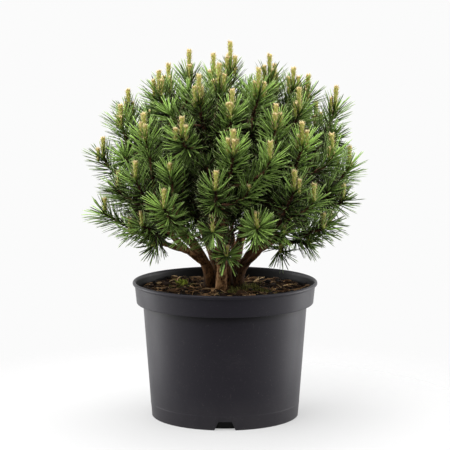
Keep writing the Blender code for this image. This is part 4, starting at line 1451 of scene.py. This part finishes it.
@dataclass
class Timber:
    """The trunk and every bough, with bark relief and painted shade at their feet.

    Grids give rows and columns, and plate sizes go round the limb and along it.
    """

    growth: Growth
    trunk_grid: tuple[int, int] = (200, 96)
    flare_radius: float = 4.5 * MM
    flare_height: float = 9 * MM
    lobes: int = 5
    lobe_depth: float = 0.16
    relief: float = 1.1 * MM
    plate_sizes: Pair = (4.2 * MM, 8 * MM)
    foot_push: float = 9 * MM
    push_height: float = 14 * MM
    foot_slimming: float = 0.10
    row_height: float = 1.5 * MM
    shade_depth: float = 0.85
    shade_height: float = 34 * MM
    shade_wide: float = 40 * MM

    def bark_relief(self, radius: Floats, turn: Floats, length: Floats, seed: int) -> Floats:
        """Relief of bark from 0 to 1 on a limb's grid.

        Formula: one minus the fold of layered noise round and along the limb, sharpened, so that
        rounded plates meet in narrow cracks; the plates are longer than they are wide.

        Args:
            radius: radius of the limb at each place, shape (rows, 1).
            turn: angle round the limb, shape (1, columns).
            length: distance along it, shape (rows, 1).
            seed: chooses another pattern.

        Returns:
            Array of shape (rows, columns).
        """
        wide, high = self.plate_sizes
        spot = xyz(radius * np.cos(turn) / wide, radius * np.sin(turn) / wide, length / high)
        warp = [layered_noise(spot * 1.7 + 9, 2, seed + k) for k in (40, 50, 60)]
        spot_warped = spot + 0.6 * np.stack(warp, axis=-1)
        plates = 1 - np.abs(layered_noise(spot_warped, 3, seed)) * 2.4
        fine = layered_noise(spot * 4.1, 3, seed + 7)
        return np.clip(0.25 + 0.6 * (1 - np.clip(plates, 0, 1) ** 3) + 0.3 * fine, 0, 1)

    def carry_relief_and_painted_shade(self, surface: Surface, relief: Floats) -> Surface:
        """A limb carrying its relief, darkened near the soil by painted shade, and a slow tone."""
        # painted shade: the carried relief is scaled down near the soil, behind and right of the
        # front
        surface.carry("relief", with_ends(relief[None]) * self.daylight(surface.points))
        surface.carry("tone", lattice_noise(surface.points / 0.02, 8))
        return surface

    def trunk_surface(self) -> Surface:
        """The trunk.

        Formula: level rings round the leaning centre line, of radius (taper + flare) x lobes plus
        the bark's relief, from just inside the soil to the tip.

        Returns:
            The closed surface.
        """
        g = self.growth
        rows, columns = self.trunk_grid
        foot, tip = g.soil_top - 2 * MM, g.trunk_tip[2]
        height = foot + (tip - foot) * np.linspace(0, 1, rows)[:, None] ** 1.25
        a = ring(columns)[None]
        above = height - g.soil_top
        rise = np.clip(above / (tip - g.soil_top), 0, 1)
        base = g.trunk_radii[0] + (g.trunk_radii[1] - g.trunk_radii[0]) * rise**g.trunk_taper
        fade = np.exp(-np.clip(above, 0, 1) / self.flare_height)
        lobed = 1 + self.lobe_depth * fade * np.cos(self.lobes * a + 0.7)
        relief = self.bark_relief(base, a, height, 3)
        radius = (base + self.flare_radius * fade) * lobed + self.relief * (relief - 0.6)
        centre = g.trunk_point(height[:, 0])
        rings = centre[:, None] + radius[..., None] * xyz(np.cos(a), np.sin(a), 0.0)
        return self.carry_relief_and_painted_shade(closed_grids(rings[None], centre[:1], centre[-1:]), relief)

    def bough_surface(self, path: Floats, radii: Pair, seed: int, columns: int) -> Surface:
        """One bough.

        Formula: a tube whose radius tapers, with a slimmer foot, a slow wave and the bark's relief.

        Args:
            path: places along it.
            radii: its radii at foot and tip.
            seed: chooses the wave's phase and the bark's pattern.
            columns: points round it.

        Returns:
            The closed surface.
        """
        length = arc_lengths(path)[-1]
        rows = max(24, int(length / self.row_height))
        t = np.linspace(0, 1, rows)[:, None]
        taper = radii[0] + (radii[1] - radii[0]) * t
        taper = taper * (1 - self.foot_slimming * np.exp(-t / 0.16))
        taper = taper * (1 + 0.05 * np.sin(t * 21 + seed))
        relief = self.bark_relief(taper, ring(columns)[None], t * length, seed)
        radius = taper + self.relief * 0.8 * (relief - 0.6)
        return self.carry_relief_and_painted_shade(tubes(resampled(path, rows)[None], radius[None], columns), relief)

    def daylight(self, points: Floats) -> Floats:
        """How light the bark is: painted shade darkens the feet behind and right of the front.

        Formula: 1 - depth x low x dark, where low falls off with the height over the soil, more
        slowly to the right, and dark goes from 0 at the front to 1 behind it and to its right.

        Args:
            points: places on the bark, shape (n, 3).

        Returns:
            Array of n factors.
        """
        x, y, z = points.T
        high = self.shade_height + np.clip(x, 0, self.shade_wide)
        low = np.exp(-np.clip(z - self.growth.soil_top, 0, 1) / high)
        behind = np.clip((y + 16 * MM) / (10 * MM), 0, 1)
        beside = np.clip((x - 7 * MM) / (5 * MM), 0, 1)
        return 1 - self.shade_depth * low * np.maximum(behind, beside)

    def pushed(self, path: Floats) -> Floats:
        """A bough's path with its foot moved out of the trunk's, less and less with its height.

        Formula: a place moves straight out by push x exp(-(rise / height)^2), for its rise over
        the foot, and the foot goes down to the soil.

        Args:
            path: places along the bough.

        Returns:
            The new places.
        """
        g = self.growth
        out = unit((path[0] - g.trunk_point(path[0, 2])) * np.array([1, 1, 0]))
        fade = np.exp(-(((path[:, 2:] - path[0, 2]) / self.push_height) ** 2))
        down = fade * (path[0, 2] - g.soil_top + 3 * MM) * UP
        return path + self.foot_push * fade * out - down

    def build(self, shop: Workshop) -> None:
        """Make and dress the trunk, the boughs and the side boughs."""
        colours = (0.010, 0.0055, 0.003), (0.112, 0.054, 0.022), (0.33, 0.185, 0.085)
        bark = BarkFinish("rough_bark", *colours, 320).build(shop)
        make_piece("trunk_bark", self.trunk_surface(), bark, ("trunk",))
        for kind, columns in (("bough", 40), ("side_bough", 28)):
            limbs = [b for b in self.growth.limbs if b.name.rsplit("_", 1)[0] == kind]
            made = []
            for seed, limb in enumerate(limbs, start=11):
                path = smoothed(limb.path, 80)
                path = self.pushed(path) if kind == "bough" else path
                made.append(self.bough_surface(path, limb.radii, seed, columns))
            names = tuple(b.name for b in limbs)
            make_piece(f"{kind}_bark", joined(made), bark, names)


@dataclass
class Foliage:
    """Twigs, needles and candles on every stem and shoot of the plan.

    Angles are in degrees. A pair whose name ends in noise is a mean and a spread; the radii of
    twigs and stems go from foot to tip; inner_falls is a tone's fall in the shade and what the
    light adds to it; any other pair is a least and a most. needle_shares and needle_widths tell a
    needle's sections: where each stands on the length, and how much of the half width it has.
    Groups are of smaller candles, which stand round a candle's foot.
    """

    growth: Growth
    twig_radii: Pair = (2.3 * MM, 1.7 * MM)
    stem_radii: Pair = (3.5 * MM, 2.4 * MM)
    fine_width: float = 0.8
    needle_length: float = 31 * MM
    needle_half_width: float = 0.69 * MM
    fine_length: float = 0.86
    inner_shortening: float = 0.22
    length_noise: Pair = (1.0, 0.045)
    bundle_step: float = 0.70 * MM
    fewest_bundles: int = 52
    low_height: float = 262 * MM
    low_share: float = 0.86
    low_spread: float = 8
    lean_tip: float = 44
    lean_foot: float = 70
    lean_spread: float = 2.4
    pair_split: float = 0.07
    split_spread: float = 0.022
    needle_rise: float = 0.10
    bend_noise: Pair = (0.07, 0.02)
    side_bend_noise: Pair = (0.0, 0.012)
    needle_shares: tuple[float, ...] = (0.0, 0.4, 0.88, 1.0)
    needle_widths: tuple[float, ...] = (0.75, 1.0, 0.8)
    ridge_width: float = 0.75
    tone_base: float = 0.11
    tone_gain: float = 0.8
    tone_spread: float = 0.24
    inner_falls: Pair = (0.1, 0.45)
    shade_foot: float = 100 * MM
    shade_reach: float = 250 * MM
    least_lit: float = 0.47
    lowest: float = 183 * MM
    side_proud: float = 3 * MM
    limb_gap: float = 0.6 * MM
    long_candle: float = 18 * MM
    long_radius: float = 3.05 * MM
    short_radius: float = 2.6 * MM
    candle_lean: float = 0.03
    grouped_candle: float = 10 * MM
    group_height: float = 352 * MM
    high_group: tuple[int, int] = (2, 3)
    low_group: tuple[int, int] = (0, 1)
    small_turn: float = 120
    small_turn_slack: float = 25
    small_reach: Pair = (5.8 * MM, 7.2 * MM)
    small_sink: float = 4 * MM
    small_share: Pair = (0.32, 0.6)
    small_extra: float = 6.5 * MM
    small_radii: Pair = (2.2 * MM, 2.8 * MM)
    candle_tones: Pair = (0.3, 0.75)
    scale_length: float = 3.4 * MM
    scale_step: float = 0.8 * MM
    scale_size: float = 1.25
    scale_flare: Pair = (0.6, 1.3)
    scale_half_width: float = 0.95 * MM
    crown_scales: int = 14
    crown_share: Pair = (0.88, 0.97)
    crown_size: Pair = (0.75, 1.4)
    crown_flare: Pair = (-0.1, 0.6)
    crown_half_width: float = 1.15 * MM
    seed: int = 31

    def wood(
        self, paths: Floats, radii: Pair, thin: Floats, sides: int, rows: Pair, swell: Pair
    ) -> Surface:
        """Twigs or stems: tapering tubes with rows of small leaf cushions.

        Formula: taper x thin x (least + depth x cushion), where cushion is 0.5 + 0.5 sin(3 a +
        m t) sin(2 a - n t) at the turn a and the share t of the length.

        Args:
            paths: shape (tubes, count, 3).
            radii: radii at foot and tip before the cushions.
            thin: each tube's own factor on them.
            sides: number of points in a ring.
            rows: the cushions' m and n.
            swell: their least and depth.

        Returns:
            The surface, which carries the cushions as its relief.
        """
        t = np.linspace(0, 1, paths.shape[1])[None, :, None]
        a = ring(sides)
        cushion = 0.5 + 0.5 * np.sin(a * 3 + t * rows[0]) * np.sin(a * 2 - t * rows[1])
        width = (radii[0] + (radii[1] - radii[0]) * t) * thin[:, None, None]
        surface = tubes(paths, width * (swell[0] + swell[1] * cushion), sides)
        relief = np.broadcast_to(cushion, (len(paths), *cushion.shape[1:]))
        surface.carry("relief", with_ends(relief))
        surface.carry("tone", lattice_noise(surface.points / 0.01, 6))
        return surface

    def twig_surface(self) -> Surface:
        """The twig of every shoot, thinner on fine ones, and the stem of every mass."""
        g = self.growth
        shoots = [s for m in g.masses for s in m.shoots]
        paths = np.array([s.path(18) for s in shoots])
        thin = np.array([1.0 if s.leafed > g.fine_leafed else self.fine_width for s in shoots])
        twigs = self.wood(paths, self.twig_radii, thin, 6, (62, 47), (0.85, 0.35))
        paths = np.array([smoothed(m.stem, 24) for m in g.masses])
        thin = np.ones(len(paths))
        return joined([twigs, self.wood(paths, self.stem_radii, thin, 10, (31, 23), (0.9, 0.25))])

    def needle_feet(self, shoot: Shoot, rng: np.random.Generator) -> tuple[Floats, ...]:
        """Where bundles of needles stand on a shoot.

        Formula: bundles follow a golden-angle spiral, one for each step back from the tip; the
        lean against the twig grows from the tip to the last of the leafed length. Low shoots have
        fewer bundles, which lean out further.

        Args:
            shoot: the shoot.
            rng: the random source.

        Returns:
            Feet, directions along the twig, directions out of it, leans in radians and the share
            of the leafed length, each with one row for each needle.
        """
        path = shoot.path(33)
        total = arc_lengths(path)[-1]
        count = max(self.fewest_bundles, int(shoot.leafed / self.bundle_step))
        tip = self.lean_tip
        if shoot.end[2] < self.low_height:
            count = int(count * self.low_share)
            tip += self.low_spread
        share = (np.arange(count) + 0.3) / count
        back = share**1.12 * shoot.leafed
        near = 1.5 * MM
        way = unit(along_path(path, total - back + near) - along_path(path, total - back - near))
        way[back < near] = unit(path[-1] - path[-2])
        out = square_out(way, np.arange(count) * GOLDEN_ANGLE + rng.uniform(0, 2 * math.pi))
        lean = np.radians(tip + (self.lean_foot - tip) * share**0.8)
        pair = np.repeat(np.arange(count), 2)
        lean = lean[pair] + rng.normal(0, math.radians(self.lean_spread), 2 * count)
        return along_path(path, total - back)[pair], way[pair], out[pair], lean, share[pair]

    def needles_of(self, mass: Mass, rng: np.random.Generator) -> Surface:
        """All needles of a mass.

        Formula: a needle's centre line is foot + length (t aim + t^2 bend), where aim leans out
        of the twig, the two of a bundle apart, and rises a little.

        Args:
            mass: the mass.
            rng: the random source.

        Returns:
            The needles as one surface, without those that would touch a limb or leave the room.
        """
        sets = [self.needle_feet(s, rng) for s in mass.shoots]
        foot, way, out, lean, share = (np.concatenate([s[k] for s in sets]) for k in range(5))
        shoot_of = np.repeat(np.arange(len(sets)), [len(s[0]) for s in sets])
        count = len(foot)
        across = np.cross(way, out)
        split = np.tile([-1.0, 1.0], count // 2) * self.pair_split
        split = (split + rng.normal(0, self.split_spread, count))[:, None]
        lean = lean[:, None]
        aim = unit(np.sin(lean) * (out + split * across) + np.cos(lean) * way)
        aim = unit(aim + self.needle_rise * UP)
        bend = way * rng.normal(*self.bend_noise, (count, 1))
        bend = bend + across * rng.normal(*self.side_bend_noise, (count, 1))
        length = self.needle_length * rng.normal(*self.length_noise, count)
        length = length * (1 - self.inner_shortening * share**2)
        fine = np.array([s.leafed <= self.growth.fine_leafed for s in mass.shoots])[shoot_of]
        length = (length * np.where(fine, self.fine_length, 1.0))[:, None, None]
        t = np.array(self.needle_shares)[None, :, None]
        line = foot[:, None] + length * (t * aim[:, None] + t**2 * bend[:, None])
        keep = self.has_room(line)
        surface = self.needle_blades(line[keep], aim[keep], way[keep])
        shoots = [mass.shoots[k] for k in shoot_of[keep]]
        surface.carry("tone", self.needle_tones(shoots, share[keep], rng))
        return surface

    def needle_blades(self, line: Floats, aim: Floats, way: Floats) -> Surface:
        """The needles' skins.

        Formula: a section is a triangle of two edges, one half width to either side of the centre
        line, and a ridge square to them; it narrows along the needle to a blunt point.

        Args:
            line: centre lines, shape (needles, 4, 3).
            aim: unit vectors along them, shape (needles, 3).
            way: unit vectors along the twig, shape (needles, 3).

        Returns:
            One surface that carries the share of the length.
        """
        edge = unit(np.cross(aim, way))[:, None]
        ridge = np.cross(edge, aim[:, None])
        wide = np.array(self.needle_widths)[None, :, None] * self.needle_half_width
        body = line[:, :-1]
        corners = [body + wide * edge, body + self.ridge_width * wide * ridge, body - wide * edge]
        surface = closed_grids(np.stack(corners, axis=2), line[:, 0], line[:, -1])
        along = np.array([*np.repeat(self.needle_shares[:-1], 3), 0.0, 1.0])
        surface.carry("along", np.tile(along, len(line)))
        return surface

    def needle_tones(self, shoots: list[Shoot], share: Floats, rng: np.random.Generator) -> Floats:
        """Tones of needles from 0 to 1, with painted shade low in the crown and at shoots' feet.

        Formula: base + gain x the shoot's tone x lit + noise - fall x share, where lit grows with
        the height of the shoot's end and the fall along the shoot grows with lit.

        Args:
            shoots: the shoot of each needle.
            share: its place along the leafed length, from the shoot's tip.
            rng: the random source.

        Returns:
            One tone for each needle.
        """
        high, tone = np.array([(s.end[2], s.tone) for s in shoots]).T
        # painted shade: shoots that end low are darker, and needles darken towards the shoot's foot
        lit = np.clip((high - self.shade_foot) / self.shade_reach, self.least_lit, 1)
        least, more = self.inner_falls
        fall = least + more * (lit - self.least_lit) / (1 - self.least_lit)
        noise = rng.normal(0, self.tone_spread, len(tone))
        return np.clip(self.tone_base + self.tone_gain * tone * lit + noise - fall * share, 0, 1)

    def has_room(self, line: Floats) -> NDArray[np.bool_]:
        """Which needles stay above the soil, inside the plant's box and clear of every limb.

        Args:
            line: centre lines, shape (needles, points, 3).

        Returns:
            One truth value for each needle.
        """
        low, high = (np.array(c) for c in CAD_BOX)
        room = np.array([self.side_proud, self.side_proud, 0.0])
        keep = (line > low - room).all(axis=(1, 2)) & (line < high + room).all(axis=(1, 2))
        keep &= line[:, :, 2].min(axis=1) > self.lowest
        middle = line[:, 1:].reshape(-1, 3)
        for path, radius in self.growth.limb_lines():
            gap = path_gap(middle, path).reshape(len(line), -1).min(axis=1)
            keep &= gap > radius + self.limb_gap
        return keep

    def candle_surface(self) -> Surface:
        """Every candle and the smaller ones that stand round its foot, more of them higher up."""
        rng = np.random.default_rng(self.seed + 1)
        feet, long, wide = [], [], []
        for shoot in (s for m in self.growth.masses for s in m.shoots if s.candle > 0):
            feet.append(shoot.end)
            long.append(shoot.candle)
            is_long = shoot.candle > self.long_candle
            wide.append(self.long_radius if is_long else self.short_radius)
            if shoot.candle <= self.grouped_candle or shoot.end[2] <= self.low_height:
                continue
            turn = rng.uniform(0, 360)
            fewest, most = self.high_group if shoot.end[2] > self.group_height else self.low_group
            for k in range(int(rng.integers(fewest, most + 1))):
                slack = rng.uniform(-self.small_turn_slack, self.small_turn_slack)
                beside = direction(turn + self.small_turn * k + slack, 0.0)
                reach = rng.uniform(*self.small_reach)
                feet.append(shoot.end + beside * reach - UP * self.small_sink)
                long.append(shoot.candle * rng.uniform(*self.small_share) + self.small_extra)
                wide.append(rng.uniform(*self.small_radii))
        feet, long, wide = np.array(feet), np.array(long) - self.scale_length, np.array(wide)
        way = unit(UP + rng.normal(0, self.candle_lean, (len(feet), 3)))
        bodies = self.candle_bodies(feet, way, long, wide)
        surface = joined([bodies, self.candle_scales(feet, way, long, wide, rng)])
        surface.carry("tone", rng.uniform(*self.candle_tones, len(surface.points)))
        return surface

    def candle_bodies(self, feet: Floats, way: Floats, long: Floats, wide: Floats) -> Surface:
        """The candles' bodies.

        Formula: radius = wide (0.78 + 0.36 t^4) for t from foot to top, with the last rings drawn
        in to a dome.

        Args:
            feet: shape (candles, 3).
            way: unit vectors along them, shape (candles, 3).
            long: their lengths.
            wide: their radii.

        Returns:
            One surface, whose kind runs from green at the foot to tan at the top.
        """
        t = np.array([0, 0.25, 0.5, 0.7, 0.84, 0.93, 0.98, 1.0])
        swell = (0.78 + 0.36 * t**4) * np.array([1, 1, 1, 1, 1, 0.98, 0.8, 0.4])
        sides = 7
        paths = feet[:, None] + way[:, None] * (t[None] * long[:, None])[..., None]
        surface = tubes(paths, wide[:, None] * swell[None], sides)
        rows = np.linspace(0, 1, len(t))[None, :, None]
        along = with_ends(np.broadcast_to(rows, (len(feet), len(t), sides)), 0.0, 1.0)
        surface.carry("kind", 0.02 + 0.28 * along + 0.34 * along**5)
        return surface

    def candle_scales(
        self, feet: Floats, way: Floats, long: Floats, wide: Floats, rng: np.random.Generator
    ) -> Surface:
        """Scales that fringe the candles and crowd round their tops.

        Formula: scale i of a body stands at share 0.06 + 0.86 (i + 0.5) / count of its length and
        at i times the golden angle; it is a three-sided spike along way + flare x out. The last
        scales stand round the top and flare less.

        Args:
            feet: shape (candles, 3).
            way: unit vectors along them, shape (candles, 3).
            long: their lengths.
            wide: their radii.
            rng: the random source.

        Returns:
            One surface, whose kind runs from tan at a scale's foot to cream at its tip.
        """
        counts = (long / self.scale_step).astype(int) + self.crown_scales
        of = np.repeat(np.arange(len(feet)), counts)
        order = np.arange(len(of)) - np.repeat(np.cumsum(counts) - counts, counts)
        body = (counts - self.crown_scales)[of]
        crown = (order >= body)[:, None]
        share = 0.06 + 0.86 * (order[:, None] + 0.5) / body[:, None]
        share = np.where(crown, rng.uniform(*self.crown_share, (len(of), 1)), share)
        way, long, wide = way[of], long[of, None], wide[of, None]
        out = square_out(way, order * GOLDEN_ANGLE + rng.uniform(0, 6, len(feet))[of])
        around = np.cross(way, out)
        base = feet[of] + way * share * long + out * wide * np.where(crown, 0.8, 0.95)
        steep = rng.uniform(*self.crown_flare, crown.shape)
        open_out = rng.uniform(*self.scale_flare, crown.shape)
        aim = unit(way + np.where(crown, steep, open_out) * out)
        size = np.where(crown, rng.uniform(*self.crown_size, crown.shape), self.scale_size)
        size = self.scale_length * size
        half = np.where(crown, self.crown_half_width, self.scale_half_width)
        corners = [base + out * 0.5 * MM, base + around * half, base - around * half]
        rings = np.stack(corners, axis=1)
        surface = closed_grids(rings[:, None], base - aim * 0.8 * MM, base + aim * size)
        surface.carry("kind", np.tile([0.45, 0.6, 0.6, 0.5, 0.92], len(of)))
        return surface

    def build(self, shop: Workshop) -> None:
        """Make and dress the twigs, the candles and the needles, tier by tier."""
        colours = (0.016, 0.008, 0.006), (0.070, 0.030, 0.018), (0.20, 0.105, 0.06)
        twig = BarkFinish("twig_bark", *colours, 700).build(shop)
        make_piece("twigs", self.twig_surface(), twig)
        make_piece("candles", self.candle_surface(), CandleFinish().build(shop))
        green = NeedleFinish().build(shop)
        rng = np.random.default_rng(self.seed)
        for tier in TIERS:
            masses = [m for m in self.growth.masses if m.tier == tier.name]
            surface = joined([self.needles_of(m, rng) for m in masses])
            names = tuple(m.name for m in masses)
            make_piece(f"needles_{tier.name}", surface, green, names)


@dataclass
class Studio:
    """A pale floor that melts into a pale surround, soft light and the camera.

    Each light gives its place, its size and its power.
    """

    camera_place: tuple[float, float, float] = (0.0, -2.40, 0.575)
    camera_pitch: float = 82.25
    lens: float = 150
    aim: tuple[float, float, float] = (0.0, 0.0, 0.28)
    surround: float = 0.965
    floor: Colour = (0.24, 0.24, 0.24)
    floor_glow: float = 0.41
    floor_radius: float = 3.2
    floor_fade: Pair = (0.2, 0.5)
    lights: tuple[tuple[str, tuple[float, float, float], float, float], ...] = (
        ("key", (-0.7, -1.0, 2.3), 1.5, 58),
        ("fill", (1.6, -0.7, 1.5), 1.6, 12),
        ("crown", (0.0, 0.5, 2.3), 1.4, 46),
        ("left_side", (-1.5, 0.45, 0.12), 0.8, 15),
        ("right_side", (1.5, 0.45, 0.12), 0.8, 16),
        ("front", (-0.3, -2.4, 1.2), 1.2, 1.8),
    )

    def place_camera(self) -> None:
        """The camera at the front, a little above the plant's middle."""
        data = bpy.data.cameras.new("camera")
        data.lens = self.lens
        data.sensor_width = 36
        camera = bpy.data.objects.new("camera", data)
        camera.location = self.camera_place
        camera.rotation_euler = (math.radians(self.camera_pitch), 0, 0)
        bpy.context.scene.collection.objects.link(camera)
        bpy.context.scene.camera = camera

    def add_floor(self, shop: Workshop) -> None:
        """A round floor, whose edge fades out evenly all round."""
        mesh = bpy.data.meshes.new("floor")
        a = ring(64)
        disc = xyz(self.floor_radius * np.cos(a), self.floor_radius * np.sin(a), 0)
        mesh.from_pydata(disc.tolist(), [], [tuple(range(len(a)))])
        material, n, shader = shop.start(
            "floor_paper",
            Base_Color=(*self.floor, 1),
            Emission_Color=(1, 1, 1, 1),
            Emission_Strength=self.floor_glow,
            Roughness=0.9,
            Specular_IOR_Level=0.1,
        )
        near, far = self.floor_fade
        away = n.add("VectorMath", n.place(), operation="LENGTH").outputs["Value"]
        fade = n.add("MapRange", interpolation_type="SMOOTHSTEP", Value=away)
        for key, value in zip(("From Min", "From Max", "To Min", "To Max"), (near, far, 1.0, 0.0)):
            n.feed(fade, key, value)
        n.feed(shader, "Alpha", fade.outputs[0])
        mesh.materials.append(material)
        floor = bpy.data.objects.new("floor", mesh)
        bpy.context.scene.collection.objects.link(floor)

    def add_light(
        self, name: str, place: tuple[float, float, float], size: float, power: float
    ) -> None:
        """A soft square light that looks at the plant's middle."""
        data = bpy.data.lights.new(name, "AREA")
        data.size = size
        data.energy = power
        light = bpy.data.objects.new(name, data)
        light.location = place
        x, y, z = np.array(self.aim) - np.array(place)
        turn = math.atan2(y, x) - math.pi / 2
        light.rotation_euler = (math.atan2(math.hypot(x, y), -z), 0, turn)
        light.visible_camera = False
        bpy.context.scene.collection.objects.link(light)

    def add_surround(self) -> None:
        """Soft light from all round: bright at the sides, behind and above, dim in front."""
        world = bpy.data.worlds.new("surround")
        bpy.context.scene.world = world
        world.use_nodes = True
        world.node_tree.nodes.clear()
        n = Nodes(world.node_tree)
        part = n.add("SeparateXYZ", n.add("TexCoord").outputs["Generated"]).outputs
        side = n.maths("POWER", n.add("Math", part["X"], operation="ABSOLUTE").outputs[0], 2.6)
        back, top = (n.maths("MAXIMUM", part[key], 0.0) for key in "YZ")
        strengths = ((side, 2.4), (back, 1.1), (top, 0.7))
        total = n.maths("ADD", *(n.maths("MULTIPLY", p, s) for p, s in strengths), 0.03)
        light, seen = (
            n.add("Background", (1, 1, 1, 1), strength).outputs[0]
            for strength in (total, self.surround)
        )
        by_camera = n.add("LightPath").outputs["Is Camera Ray"]
        mix = n.add("MixShader", by_camera, light, seen)
        n.add("OutputWorld", mix.outputs[0])

    def build(self, shop: Workshop) -> None:
        """Set up the camera, the floor and the light."""
        self.place_camera()
        self.add_floor(shop)
        self.add_surround()
        for light in self.lights:
            self.add_light(*light)
        bpy.context.scene.view_settings.view_transform = "Standard"


def main() -> None:
    """Build the studio, the pot and the plant, and note the sizes."""
    logging.basicConfig(level=logging.INFO, format="%(name)s %(message)s")
    shop = Workshop(tone_group())
    Studio().build(shop)
    growth = Growth()
    growth.plan()
    shoots = sum(len(m.shoots) for m in growth.masses)
    log.info("%d masses, %d shoots", len(growth.masses), shoots)
    for part in (Pot(), Soil(), Timber(growth), Foliage(growth)):
        part.build(shop)
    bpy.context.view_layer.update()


if __name__ == "__main__":
    main()
